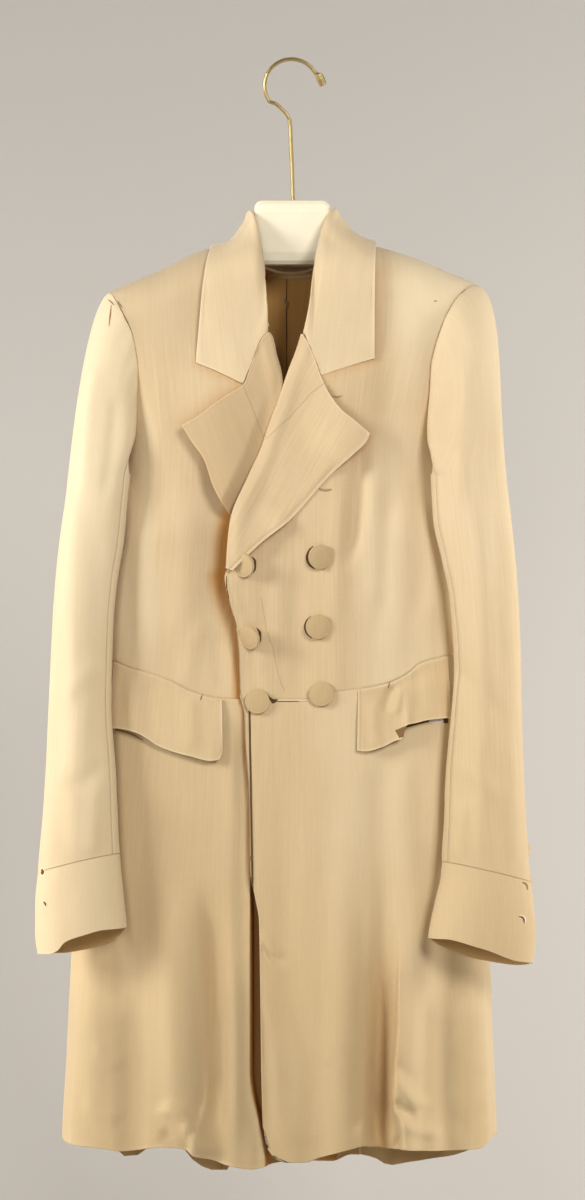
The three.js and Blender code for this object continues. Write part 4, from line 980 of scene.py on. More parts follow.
for side in ("right", "left"):
    l = lapels[side]
    right = side == "right"
    sgn = 1 if right else -1
    t = np.concatenate([[0, 0.015, 0.035], np.linspace(0.06, 1, 52), [0.985, 0.995]])
    down, across = np.meshgrid(steps(88), np.unique(t), indexing="ij")
    xz = patch(l, down, across)
    x, z = xz[..., 0], xz[..., 1]
    near = edgeDistances(np.stack([x, 0 * x, z], -1))[0]
    roll = lapelRoll["high"] * bell(near[2] - lapelRoll["reach"], lapelRoll["reach"]) * ramp(down, 1, 0.9)
    if right:
        # only the part that the left front leaves uncovered stands up
        shown = ramp(edgeLeft(z) - x, 2, 18)
        lift = l["rest"] + wall
        lift = lift + shown * (l["stands"] * ramp(across, 0.05, 1) * ramp(down, 1, 0.6) + roll) + 0.2 * roll
    else:
        close = ramp(down, 0.16, 0.3) * ramp(down, 0.68, 0.56)   # lies close, its edge lost in the cloth
        free = ramp(across, 0.35, 1) * ramp(down, 1, 0.55)
        lift = over(x, z) + standsUp(x, z) + l["rest"] + wall
        lift = lift + l["stands"] * free * (1 - 0.93 * close) + 5 * ramp(down, 0.66, 0.86) + roll
    base = skinAt(x, z, lift)
    normal = formNormal(angleOf(x, z), heightOf(x, z))
    sink, stitch, run = sewn(base, ["edge", "none", "none", "edge"], 21 + sgn, 0.6)
    if not right:
        sink = sink - 1.1 * close * bell(near[3], 5)
    wave = 0.5 * slack(x * 1.3, z, 14 + sgn) * ramp(near[3], 0, 20)
    faces = []
    raised = lift[:, 0] - wall - l["turnIn"]
    for aside, off, face in ((0, 1, sink + wave), (2, 3, wave - wall)):
        turned = [skinAt(x[:, 0] + sgn * row[aside], z[:, 0], row[off] + raised) for row in turnBack]
        faces.append(np.concatenate([np.stack(turned, 1), base + normal * face[..., None]], 1))
    c, g = math.cos(l["grain"]), math.sin(l["grain"])
    th = np.stack([x * c + z * g, z * c - x * g], -1)
    th = np.concatenate([th[:, :1] + np.array([[-6.0 + 1.2 * k, 0] for k in range(5)])[None], th], 1)
    pad = ((0, 0), (5, 0))
    line = np.pad(sewnLine(x, z, seamLines["lapel_" + side]), pad, constant_values=farAway)
    stitch = np.pad(stitch, pad, constant_values=farAway)
    # painted brown shade over the right lapel, growing toward its lower end
    lapelShade = np.pad((0.12 + 0.2 * down) * (1 if right else 0), pad)
    keep(makeWall("lapel_" + side, *faces, th, stitch, np.pad(run, pad), line, lapelShade), "lapel_" + side)
# Collar
collarAt = smooth([  # place, fold x y z, neck seam, outer edge x y z
    [0, -22.8, -66, -271, -266, -94, 0, -303], [1, -23.8, -64, -250, -250, -94, 0, -284],
    [2, -25.3, -59, -229, -232, -90.5, 0, -254], [3, -27.2, -50, -202, -212, -87.5, 0, -225],
    [4, -30, -38, -181, -190, -84, 0, -206], [5, -34, -27, -162, -172, -81.5, 0, -195],
    [6, -39.5, -14, -149, -156, -79.5, 0, -188], [7, -42.5, 4, -147, -47, -79, 34, -187],
    [8, -39, 24, -150, -40, -74, 60, -202], [9, -24, 38, -153, -24, -50, 64, -220],
    [10, 0, 42, -154, 0, 0, 66, -228], [11, 26, 38, -152, 24, 52, 64, -219],
    [12, 41, 24, -149, 40, 78, 60, -199], [13, 45, 4, -145, 47, 84.5, 34, -183.5],
    [14, 41.5, -14, -147, -152, 85, 0, -183], [15, 35, -28, -157, -170, 84, 0, -190],
    [16, 30, -38, -172, -188, 83.4, 0, -201], [17, 25.6, -50, -192, -206, 83, 0, -220],
    [18, 23, -58, -215, -226, 83, 0, -246], [19, 19, -65, -245, -246, 82.8, 0, -275],
    [20, 12, -67, -273, -264, 82.8, 0, -299],
])
bendAt = smooth([  # how the fall bows out: place, x, y, z
    [0, 0, -7, 1], [3, 0, -13, 3], [4, 1, -10, -2], [5, 6, -6, -9], [6, 13.5, 0, -15.5], [7, 9, -2, -10],
    [8, 0, 7, 3], [10, 0, 12, 6], [12, 0, 7, 3], [13, -4, -2, -7], [14, -3, 0, -9], [15, -1, -6, -7],
    [16, 0, -10, -2], [17, 0, -13, 3], [20, 0, -7, 1],
])
gorgeRight = smooth([
    [0, -23.4, -272.7], [0.16, -30.4, -280.7], [0.36, -40.9, -307.7], [0.5, -45.2, -318.6],
    [0.58, -47.6, -324.4], [0.66, -56, -320.5], [0.8, -71, -313], [1, -94, -303],
])
gorgeLeft = smooth([
    [0, 12, -274.7], [0.16, 18, -284.7], [0.36, 22.4, -294.7], [0.5, 27.2, -309], [0.58, 30, -316.6],
    [0.66, 38.5, -313.5], [0.8, 56, -307.5], [1, 82.8, -299],
])
collar = {"rest": 1.6 + wall, "sections": 161, "tip": 3, "belly": 2}


# How high over the form the lapels' surface lies along the gorge
def gorgeHigh(side, x, z):
    away = abs(x - (-23.4 if side == "right" else 12))
    reach = lapelRoll["reach"]
    roll = lapelRoll["high"] * math.exp(-((away * 1.6 - reach) / reach) ** 2)
    return lapels["right"]["rest"] + wall + roll + (0 if side == "right" else float(over(x, z)) + 0.1)


# Three neighbouring columns of a table's curve, as a point
def three(curve, k, first=1):
    return np.array([curve(k, first + c) for c in range(3)])


def neckRow(k):
    v = float(collarAt(k, 4))
    s = -1 if k < 10 else 1
    edge = edgeRight if s < 0 else edgeLeft
    if k < 6.5 or k > 13.5:
        p = skin(angleOf(edge(v) - s * 4.2, v), v, -wall / 2)
    else:
        p = skin(angleOf(v, -200, False), backEnd(v) + 2.4, -wall / 2)
    return [k, *p]


neckAt = smooth([neckRow(k) for k in range(21)])
fallSteps = [0.16, 0.36, 0.5, 0.58, 0.66, 0.8, 1]
sections = []
for k in np.linspace(0, 20, collar["sections"]):
    side = "right" if k < 10 else "left"
    isFront = k < 5.9 or k > 14.1
    # at the front ends the collar comes down to the gorge, and there the fall is freed less
    low = float(1 - ramp(k, 0, 4) if k < 10 else ramp(k, 16, 20))
    freed = float(ramp(k, 0.4, 2) * ramp(k, 5, 3) if k < 10 else ramp(k, 19.6, 18) * ramp(k, 15, 17))
    gorge = gorgeRight if k < 10 else gorgeLeft
    fold = three(collarAt, k) - [0, 0, hang]
    outer = three(collarAt, k, 5) - [0, 0, hang]
    if isFront:
        outer = skinAt(collarAt(k, 5), collarAt(k, 7), collar["rest"])
    neck, bend = three(neckAt, k), three(bendAt, k)
    fall = []
    for t in fallSteps:
        p = lerp(fold, outer, t) + bend * 2 * t * (1 - t)
        if 5 < k < 15 and abs(p[1]) < 18:
            p[2] = max(p[2], shoulder(p[0]) - hang + 3.4)
        if low > 0:
            p[0] += low * (gorge(t, 1) - lerp(collarAt(k, 1), collarAt(k, 5), t))
            p[2] += low * (gorge(t, 2) - lerp(collarAt(k, 3), collarAt(k, 7), t))
        z = p[2] + hang
        if isFront and z < shoulder(p[0]) - 1:
            at = (angleOf(p[0], z), heightOf(p[0], z))
            off = collar["rest"] + 4.5 * t * freed
            p[1] = min(p[1], form(*at)[1] + off / min(-0.35, formNormal(*at)[1]))
            if low > 0:
                p = lerp(p, skin(*at, gorgeHigh(side, p[0], z) - wall / 2), low**1.5)
        fall.append(p)
    if low > 0:
        x, z = fold[0], fold[2] + hang
        fold = lerp(fold, skinAt(x, z, gorgeHigh(side, x, z) - wall / 2), low**1.5)
    mouth = fall[0] - neck
    tip = unit(fold - (fall[0] + neck) / 2)
    belly = unit(mouth - tip * mouth.dot(tip)) * collar["belly"]
    inside, outside = fold - tip * collar["tip"] - belly, fold - tip * collar["tip"] + belly
    sections.append([neck, lerp(neck, inside, 0.5), inside, fold - tip * wall / 2, outside, *fall])
# a smooth line through each section, with more points near the fold
dense = np.zeros((len(sections), 44, 3))
for i, section in enumerate(np.array(sections)):
    far = lengthAlong(section)
    wanted = np.concatenate([np.linspace(0, far[2], 9)[:-1], np.linspace(far[2], far[4], 9)[:-1],
                             np.linspace(far[4], far[-1], 26), [far[-1] - 0.9, far[-1] - 0.3]])
    dense[i] = three(smooth(np.column_stack([far, section])), np.sort(wanted)).T
for _ in range(2):   # takes out the small steps between sections
    dense[1:-1] = dense[1:-1] * 0.5 + (dense[:-2] + dense[2:]) * 0.25
normal = unit(np.cross(np.gradient(dense, axis=0), np.gradient(dense, axis=1)))
normal = normal * (1 if normal[20, 35, 1] < 0 else -1)
near, down, across = edgeDistances(dense)
sink, stitch, run = sewn(dense, ["none", "none", "seam", "edge"], 31, 0.4)
wave = 0.4 * slack(down * 0.8, across * 2, 17) * ramp(across, 30, 60) * ramp(near[3], 0, 16)
x, y, z = dense[..., 0], dense[..., 1], dense[..., 2]
keep(makeWall("collar", dense + normal * (sink + wave + wall / 2)[..., None],
              dense + normal * (wave - wall / 2)[..., None],
              np.stack([x - 0.12 * z * np.sign(x), z - y], -1), stitch, run), "collar")
print("collar and lapels made")
# Pocket flaps
flapEdge = {  # x, height of the lower edge, how far it stands off
    "right": smooth([
        [-176, -668, 3], [-165, -669.6, 4], [-153, -673, 5], [-143, -678.7, 4], [-133, -685.6, 3],
        [-113, -693, 3], [-101, -696, 4], [-81, -700.5, 4], [-72, -699, 2], [-69, -690, 1],
    ]),
    "left": smooth([
        [67, -690, 2], [75, -691, 3], [92, -686.6, 4], [104, -680.6, 5], [111, -678, 7], [115, -665, 9],
        [124, -663, 6], [136, -660, 5], [156, -658, 4],
    ]),
}
flapCreases = {
    "right": [[-140, -620, -138, -676, 2, 7, 1, -0.9], [-100, -634, -98, -690, 1, 8, 1, 1.1],
        [-160, -612, -158, -666, 1, 6, 1, 0.9]],
    "left": [[104, -624, 95, -652, 2, 5.5, 1, -1.9], [111, -626, 104, -654, 1, 5, 1, 1.3],
        [82, -640, 86, -690, 1, 6, 1, 0.9],
             [126, -610, 130, -655, 1, 7, 1, -0.8]],
}
flapAcross = {"right": (-176, -69), "left": (67, 156)}
for side in ("right", "left"):
    right = side == "right"
    e = flapEdge[side]
    v = steps(30)[:, None]
    t = steps(60)[None, :]
    x = lerp(*flapAcross[side], t) + 0 * v
    w = lerp(waistFront(x) - 1.5, e(x, 1), v)
    under = folds(x, w, frontFolds) + (0 if right else over(x, w))
    under = under + cloth["drape"] * np.maximum(0, creases(x, w, frontCreases))
    off = under + 0.9 + wall + e(x, 2) * v**2 + 2.6 * ramp(v, 0, 0.5)
    onForm("flap_" + side, angleOf(x + (v if right else -v), w), w, off, ["seam", "edge", "edge", "edge"],
           41 if right else 42, flapCreases[side], draw=(5, 0, 0, 0), flow=0.5)
print("flaps made")


# Found from straight ahead: the front-most place and normal at x and height, in millimetres
trees = {}


def onFront(names, x, w):
    best = None
    for name in names:
        if name not in trees:
            mesh = pieces[name]["object"].data
            corners = [v.co for v in mesh.vertices]
            trees[name] = BVHTree.FromPolygons(corners, [p.vertices for p in mesh.polygons])
        hit = trees[name].ray_cast(Vector((x * mm, -0.5, (w - hang) * mm)), Vector((0, 1, 0)))
        if hit[0] is None:
            near = trees[name].find_nearest(Vector((x * mm, -0.12, (w - hang) * mm)))
            hit = near if len(names) == 1 or abs(near[0].x - x * mm) < 0.004 else hit
        if hit[0] is not None and (best is None or hit[0].y < best[0].y):
            best = hit
    return np.array(best[0]) / mm, np.array(best[1])


# Buttons: a flat disc with a thin turned rim, in sizes across, thick and rim
buttonSizes = {"front": [24.6, 4.0, 1.5], "cuff": [13.8, 3.2, 1.1]}
buttonEdge = {"bevel": 0.7, "segments": 3, "bevelFrom": 40, "smoothTo": 50}   # angles in degrees
frontButtons = {  # x, height, turned to the side and up in degrees, how far it stands off
    "button_1": [-47.6, -505.0, -34, -14, 3.0], "button_2": [-41.6, -577.0, -40, -24, 5.0],
    "button_3": [-33.6, -641.2, 3, -2, 1.2], "button_4": [29.4, -496.8, 16, -6, 2.6],
    "button_5": [27.0, -566.5, 10, -4, 2.4], "button_6": [26.7, -638.4, 3, -3, 1.2],
}


def discButton(name, kind):
    across, thick, rim = buttonSizes[kind]
    bpy.ops.object.select_all(action="DESELECT")
    bpy.ops.mesh.primitive_cylinder_add(vertices=64, radius=across / 2 * mm, depth=thick * mm,
                                        rotation=(math.pi / 2, 0, 0))
    disc = bpy.context.object
    disc.name = name
    bpy.ops.object.transform_apply(location=True, rotation=True, scale=True)
    for polygon in disc.data.polygons:
        polygon.select = polygon.normal.y < -0.9
    for edge in disc.data.edges:
        edge.select = False
    for vertex in disc.data.vertices:
        vertex.select = False
    bpy.ops.object.mode_set(mode="EDIT")
    bpy.ops.mesh.select_mode(type="FACE")
    for thickness, depth in ((rim, -0.25), (rim * 0.6, 0.35), (across * 0.2, 0.15)):
        bpy.ops.mesh.inset(thickness=thickness * mm, depth=depth * mm)
    bpy.ops.object.mode_set(mode="OBJECT")
    bevel = disc.modifiers.new("edge", "BEVEL")
    bevel.width = buttonEdge["bevel"] * mm
    bevel.segments = buttonEdge["segments"]
    bevel.limit_method = "ANGLE"
    bevel.angle_limit = math.radians(buttonEdge["bevelFrom"])
    bpy.ops.object.modifier_apply(modifier="edge")
    bpy.ops.object.shade_smooth_by_angle(angle=math.radians(buttonEdge["smoothTo"]))
    mesh = disc.data
    uv = mesh.uv_layers.active or mesh.uv_layers.new(name="thread")
    uv.name = "thread"
    co = np.array([v.co for v in mesh.vertices])
    index = np.zeros(len(mesh.loops), int)
    mesh.loops.foreach_get("vertex_index", index)
    uv.data.foreach_set("uv", co[index][:, [0, 2]].astype(np.float32).ravel())
    for label in ("stitch", "line", "beside"):
        values = np.full(len(co), farAway, np.float32)
        mesh.attributes.new(label, "FLOAT", "POINT").data.foreach_set("value", values)
    disc.select_set(False)
    return disc


def placeDisc(master, name, at, facing):
    disc = addObject(name, master.data.copy())
    turn = Vector((0, -1, 0)).rotation_difference(Vector(facing)).to_matrix().to_4x4()
    disc.data.transform(Matrix.Translation(Vector(at) * mm) @ turn)
    return disc


masters = {kind: discButton(kind + " button", kind) for kind in buttonSizes}
frontPanels = ["forepart_left", "forepart_right", "skirt_left", "skirt_right"]
for name, (x, w, aside, up, off) in frontButtons.items():
    place = onFront(frontPanels, x, w)[0]
    normal = formNormal(angleOf(x, w), w)
    facing = unit(normal + np.array([math.tan(math.radians(aside)), 0, math.tan(math.radians(up))]))
    lift = off + buttonSizes["front"][1] / 2
    keep(placeDisc(masters["front"], name, place + normal * lift, facing), name, "button_cloth")
# how far each side's cuff buttons stand from their CAD places, and the way they face
cuffButtons = {"right": [(6.0, 5.0, 0), (-0.9, -0.3, 0)], "left": [(-1.0, 5.0, 0), (0.9, -0.3, 0)]}
for side, (shift, facing) in cuffButtons.items():
    for i in range(3):
        name = "cuff_button_%s_%d" % (side, i + 1)
        cad = frame["nodes"][name]
        corners = [np.array(cad.matrix_world @ Vector(c)) / mm for c in cad.bound_box]
        centre = np.mean(corners, axis=0) + np.array(shift)
        keep(placeDisc(masters["cuff"], name, centre, unit(np.array(facing))), name, "button_cloth")
for master in masters.values():
    bpy.data.objects.remove(master)
print("buttons made")

withFlaps = frontPanels + ["flap_left", "flap_right"]
backs = ["back_right", "back_left"]
sleeveEnds = {side: [kind + side for kind in ("cuff_", "top_sleeve_", "under_sleeve_")] for side in loops}
# Small things sewn or laid on the cloth: name, what it lies on, finish, height off it, and rows of x,
# height and half width. The finishes shade, under and turn are painted shade: the dark inside slits and
# pocket mouths, shadows along the front edge and beside buttons, under the flap's turned corner, along the
# seam inside the back, and in small creases, tucks and puckers.
marks = [
    ["front_buttonhole", frontPanels, "shade", 0.15, [
        [-22, -640.6, 0.4], [-20.5, -640.4, 2], [-18, -640.2, 2.9], [-15.6, -640, 2], [-13, -639.9, 0.4]]],
    ["front_slit", frontPanels, "pale", 0.5, [
        [-13.5, -640.3, 0.4], [-8, -640, 0.7], [4, -640, 0.7], [15, -640.4, 0.6]]],
    ["front_slit_shade", frontPanels, "shade", 0.3, [
        [-13.5, -641.2, 0.3], [-6, -641, 0.45], [8, -641, 0.3]]],
    # painted shade under the flap's turned corner
    ["flap_turn", ["flap_left"], "turn", 0.35, [
        [104, -670, 0.3], [107, -671, 2.9], [110, -672, 5.7], [112.6, -673, 8]]],
    ["lapel_buttonhole", frontPanels, "thread", 0.35, [
        [27.8, -428.8, 0.4], [29.5, -430, 1], [34, -430.6, 1.1], [38.5, -430.2, 1], [40.2, -429.6, 0.4]]],
    ["chest_mark", frontPanels, "thread", 0.3, [[41.5, -337, 0.3], [46, -337.8, 0.8], [50.5, -336.6, 0.3]]],
    ["waist_tuck_right", withFlaps, "under", 0.2, [
        [-88.6, -634, 0.2], [-89.4, -637, 0.6], [-90.6, -640, 0.2]]],
    ["waist_tuck_left", withFlaps, "under", 0.2, [
        [98.4, -621.6, 0.2], [97.6, -625, 0.6], [96.6, -628.4, 0.2]]],
    ["pocket_mouth_left", ["skirt_left"], "shade", 0.2, [
        [114.5, -666.4, 0.4], [119, -664.8, 1.5], [128, -662.6, 1.3], [138, -660.8, 0.7]]],
    ["pocket_lining_left", ["skirt_left"], "lining", 0.5, [
        [138, -661.8, 1], [142, -661.4, 2.3], [150, -660.4, 2.5], [153, -660, 2.4]]],
    ["pocket_end_left", ["skirt_left"], "shade", 0.6, [
        [152.4, -660.4, 2.2], [154.6, -660.2, 2.9], [157.2, -660, 2.9]]],
    # painted shadow along the left front's edge
    ["front_line_upper", frontPanels, "shade", 0.25, [
        [-64.6, -516, 0.2], [-63.4, -540, 0.6], [-56.4, -568, 0.6], [-53.6, -595, 0.5],
        [-51.9, -634, 0.3]]],
    ["front_line_lower", frontPanels, "shade", 0.25, [
        [-49.8, -652, 0.2], [-47, -680, 0.45], [-43.4, -735, 0.6], [-42.4, -790, 0.8], [-42.2, -822, 0.9],
        [-41.4, -840, 0.4]]],
    # painted shadows beside the buttons
    ["button_shade_1", frontPanels, "shade", 0.4, [
        [-38.6, -497, 0.3], [-35.6, -502, 1], [-36, -509, 1], [-39.6, -514, 0.3]]],
    ["button_shade_2", frontPanels, "shade", 0.4, [
        [-34, -568, 0.3], [-31, -573, 1.2], [-31, -579.6, 1.3], [-34.4, -585, 0.3]]],
    ["button_shade_4", frontPanels, "shade", 0.4, [
        [22, -486.4, 0.3], [18.2, -491, 1.3], [16.7, -498, 2], [18.6, -504.6, 1.4], [23.4, -509, 0.3]]],
    ["button_shade_5", frontPanels, "shade", 0.4, [
        [19.6, -556.4, 0.3], [15.9, -561, 1.1], [14.5, -567, 1.5], [16, -573, 1.1], [20.4, -578, 0.3]]],
    ["pocket_mouth_right", ["skirt_right"], "under", 0.2, [
        [-176, -669.6, 0.8], [-166, -671.8, 0.9], [-157, -675, 0.8], [-148, -680, 0.3]]],
    ["cuff_thread_right_1", sleeveEnds["right"], "pale", 0.15, [
        [-248.4, -806, 0.8], [-247.6, -808.4, 2.6], [-247.2, -811.2, 3.2], [-247.6, -814, 1.6]]],
    ["cuff_hole_right_1", sleeveEnds["right"], "shade", 0.4, [
        [-247.4, -807.2, 0.5], [-246.9, -810, 1.9], [-247.3, -812.6, 0.8]]],
    ["cuff_thread_right_2", sleeveEnds["right"], "pale", 0.15, [
        [-246.4, -838.6, 0.6], [-243.6, -841, 1.9], [-243.2, -844.6, 0.8]]],
    ["cuff_hole_right_2", sleeveEnds["right"], "shade", 0.4, [
        [-245.6, -839.2, 0.4], [-243.8, -841.2, 1], [-243.4, -843.4, 0.4]]],
    ["cuff_thread_left_1", sleeveEnds["left"], "under", 0.3, [
        [229.6, -820, 0.4], [232.6, -821.4, 0.9], [234.6, -824.4, 0.9], [234.8, -827.6, 0.4]]],
    ["cuff_thread_left_2", sleeveEnds["left"], "pale", 0.15, [
        [225.4, -853, 0.5], [229, -853.8, 1.6], [231.4, -856.6, 1.8], [231.6, -861.4, 0.6]]],
    ["cuff_hole_left_2", sleeveEnds["left"], "shade", 0.4, [
        [226, -853.4, 0.3], [229.4, -854.4, 0.8], [231, -857, 0.8], [231.4, -860.6, 0.3]]],
    ["armhole_dart_left", ["forepart_left"], "under", 0.3, [
        [175.4, -228, 0.2], [172.6, -231, 0.6], [169.6, -234.4, 0.2]]],
    ["sleeve_fold_right", ["top_sleeve_right"], "under", 0.25, [
        [-180.4, -244, 0.2], [-181.2, -254, 0.7], [-182.4, -266, 0.2]]],
    ["armhole_pucker_right_1", ["top_sleeve_right"], "under", 0.25, [
        [-184, -238, 0.2], [-180.6, -240.6, 0.6], [-177.4, -244.4, 0.2]]],
    ["armhole_pucker_right_2", ["forepart_right"], "under", 0.25, [
        [-173.4, -240, 0.2], [-171.6, -243.6, 0.6], [-168.6, -247, 0.2]]],
    ["neck_strip", backs, "pale", 0.3, [
        [-22, -210.4, 1.2], [-8, -211.2, 1.7], [6, -211.2, 1.7], [20, -210.2, 1.2]]],
    ["back_seam_inside", backs, "turn", 0.25, [
        [-4.4, -214, 0.3], [-4.6, -250, 0.5], [-4.2, -290, 0.5], [-4, -326, 0.3]]],
    ["back_seam_knot", backs, "soil", 0.5, [
        [-6.4, -234, 0.5], [-4.6, -237, 2], [-3.4, -240.4, 1.6], [-3.6, -244, 0.4]]],
]


strip = {"step": 1.5, "crown": 0.25, "thick": 0.2}


# A narrow strip laid on the cloth along the smooth line through rows
def mark(name, names, lift, rows):
    rows = np.array(rows, float)
    along = np.concatenate([[0], np.cumsum(np.hypot(*np.diff(rows[:, :2], axis=0).T))])
    curve = smooth(np.column_stack([along, rows]))
    s = np.linspace(0, along[-1], max(8, int(along[-1] / strip["step"])))
    centre = np.stack([curve(s, 1), curve(s, 2)], -1)
    aside = unit(np.gradient(centre, axis=0)[:, ::-1] * [-1, 1]) * curve(s, 3)[:, None]
    outer = np.zeros((len(s), 5, 3))
    for j, k in enumerate((-1, -0.5, 0, 0.5, 1)):
        for i in range(len(s)):
            place = onFront(names, *(centre[i] + aside[i] * k))[0]
            outer[i, j] = place + [0, -lift - strip["crown"] * (1 - k * k), 0]
    return makeWall(name, outer, outer + [0, strip["thick"], 0], outer[..., [0, 2]])


markPieces = [(mark(name, names, lift, rows), kind) for name, names, kind, lift, rows in marks]
print("marks made")


# Shading
def socketGroup(name, ins, outs):
    group = bpy.data.node_groups.new(name, "ShaderNodeTree")
    for label, kind, value in ins:
        sock = group.interface.new_socket(name=label, in_out="INPUT", socket_type=kind)
        if value is not None:
            sock.default_value = value
    for label, kind in outs:
        group.interface.new_socket(name=label, in_out="OUTPUT", socket_type=kind)
    return group, group.nodes.new("NodeGroupInput"), group.nodes.new("NodeGroupOutput")


def node(tree, kind, **settings):
    n = tree.nodes.new(kind)
    for key, value in settings.items():
        setattr(n, key, value)
    return n


def attribute(tree, name):
    return node(tree, "ShaderNodeAttribute", attribute_name=name).outputs["Fac"]


def maths(tree, operation, a, b=None):
    n = node(tree, "ShaderNodeMath", operation=operation)
    for i, value in enumerate((a, b)):
        if isinstance(value, (int, float)):
            n.inputs[i].default_value = value
        elif value is not None:
            tree.links.new(value, n.inputs[i])
    return n.outputs[0]


def noise(tree, vector, scale, detail, rough, stretch=None):
    if stretch:
        m = node(tree, "ShaderNodeMapping")
        m.inputs["Scale"].default_value = stretch
        tree.links.new(vector, m.inputs["Vector"])
        vector = m.outputs["Vector"]
    n = node(tree, "ShaderNodeTexNoise")
    for label, value in (("Scale", scale), ("Detail", detail), ("Roughness", rough)):
        n.inputs[label].default_value = value
    tree.links.new(vector, n.inputs["Vector"])
    return n.outputs["Fac"]


def span(tree, value, low, high, outLow=0.0, outHigh=1.0):
    n = node(tree, "ShaderNodeMapRange")
    for i, v in zip((1, 2, 3, 4), (low, high, outLow, outHigh)):
        n.inputs[i].default_value = v
    tree.links.new(value, n.inputs[0])
    return n.outputs[0]


def mixColour(tree, factor, a, b):
    n = node(tree, "ShaderNodeMix", data_type="RGBA")
    for sock, value in ((n.inputs["Factor"], factor), (n.inputs[6], a), (n.inputs[7], b)):
        if isinstance(value, (tuple, list)):
            sock.default_value = (*value, 1)
        elif isinstance(value, (int, float)):
            sock.default_value = value
        else:
            tree.links.new(value, sock)
    return n.outputs[2]


def addBump(tree, shader, height, strength, distance):
    bump = node(tree, "ShaderNodeBump")
    bump.inputs["Strength"].default_value = strength
    bump.inputs["Distance"].default_value = distance
    tree.links.new(height, bump.inputs["Height"])
    tree.links.new(bump.outputs["Normal"], shader.inputs["Normal"])


def newMaterial(name):
    material = bpy.data.materials.new(name)
    material.use_nodes = True
    return material, material.node_tree, material.node_tree.nodes["Principled BSDF"]


# Weave of plain linen: thick threads down and across, and a height for the bump
def linenWeave():
    g, i, o = socketGroup("linen weave", [("Thread", "NodeSocketVector", None)],
                          [("Slub", "NodeSocketFloat"), ("Height", "NodeSocketFloat")])
    v = i.outputs["Thread"]
    warp = noise(g, v, 1, 3, 0.6, (420, 11, 1))
    warpFine = noise(g, v, 1, 2, 0.6, (1100, 30, 1))
    weft = noise(g, v, 1, 3, 0.6, (34, 520, 1))
    slub = maths(g, "ADD", maths(g, "MULTIPLY", warp, 0.6), maths(g, "MULTIPLY", weft, 0.16))
    slub = maths(g, "ADD", slub, maths(g, "MULTIPLY", warpFine, 0.24))
    g.links.new(slub, o.inputs["Slub"])
    rise = maths(g, "ADD", maths(g, "MULTIPLY", warpFine, 0.6), maths(g, "MULTIPLY", weft, 0.4))
    g.links.new(rise, o.inputs["Height"])
    return g


# Broad mottling, soil toward the hem, a tone darker and yellower toward the bottom, and the stitches beside
# an edge
def agedCloth():
    number = "NodeSocketFloat"
    ins = [("Place", "NodeSocketVector", None), ("Stitch distance", number, farAway),
           ("Line distance", number, farAway), ("Beside line", number, farAway), ("Run", number, 0.0)]
    outs = [(label, number) for label in ("Mottle", "Soil", "Stitch", "Seam", "Low")]
    g, i, o = socketGroup("aged cloth", ins, outs)
    v = i.outputs["Place"]
    mottle = noise(g, v, 1, 5, 0.62, (16, 16, 6))
    g.links.new(span(g, mottle, 0.3, 0.7), o.inputs["Mottle"])
    xyz = node(g, "ShaderNodeSeparateXYZ")
    g.links.new(v, xyz.inputs[0])
    low = span(g, xyz.outputs["Z"], -0.7, -1.12)
    g.links.new(span(g, xyz.outputs["Z"], -0.45, -1.08), o.inputs["Low"])
    spots = span(g, noise(g, v, 22, 4, 0.7), 0.52, 0.75)
    soil = maths(g, "MULTIPLY", maths(g, "ADD", maths(g, "MULTIPLY", low, 0.9), 0.1), spots)
    g.links.new(soil, o.inputs["Soil"])
    d = i.outputs["Stitch distance"]
    line = span(g, d, 0.7, 0.15)
    beat = span(g, maths(g, "PINGPONG", i.outputs["Run"], 1.3), 0.45, 0.75)
    g.links.new(maths(g, "MULTIPLY", line, beat), o.inputs["Stitch"])
    away = maths(g, "ABSOLUTE", i.outputs["Line distance"])
    near = span(g, i.outputs["Beside line"], 3.4, 2.6)
    g.links.new(maths(g, "MULTIPLY", span(g, away, 0.75, 0.2), near), o.inputs["Seam"])
    return g


weaveGroup = linenWeave()
ageGroup = agedCloth()
finish = {  # colours are linear
    "linen": (0.64, 0.492, 0.298), "linenDark": (0.50, 0.36, 0.19), "linenPale": (0.74, 0.60, 0.405),
    # after linenLow come the colours of painted light and painted shade
    "linenLow": (0.46, 0.335, 0.168), "paintedLight": (0.79, 0.68, 0.475), "paintedShade": (0.40, 0.32, 0.205),
    # shade here, and deep, under and turn on the next line, are colours of painted shade
    "soil": (0.40, 0.27, 0.13), "thread": (0.50, 0.36, 0.19), "shade": (0.10, 0.055, 0.02),
    "deep": (0.42, 0.195, 0.048), "under": (0.30, 0.175, 0.07), "turn": (0.20, 0.105, 0.036),
    # inside and insideDark are a browner copy of the linen, painted shade for the inside of the coat
    "inside": (0.72, 0.41, 0.13), "insideDark": (0.52, 0.285, 0.085), "lining": (0.80, 0.76, 0.68),
    "button": (0.52, 0.385, 0.205), "ivory": (0.86, 0.79, 0.60), "brass": (0.60, 0.47, 0.22),
    # the backdrop's second colour is its painted shade
    "backdrop": (0.40, 0.381, 0.355), "backdropHigh": (0.315, 0.30, 0.28),
}
linenLook = {
    "evenness": 0.72, "rough": 0.88, "sheen": 0.16, "bump": 0.5,
    "stitchDent": -0.8, "seamDent": -1.2,
    # how strongly each of these colours it: the tone toward the bottom, mottling, soil, stitches, seams,
    # painted light and painted shade
    "Low": 0.82, "Mottle": 0.22, "Soil": 0.28, "Stitch": 0.55, "Seam": 0.3, "paintedLight": 0.95, "paintedShade": 1,
}


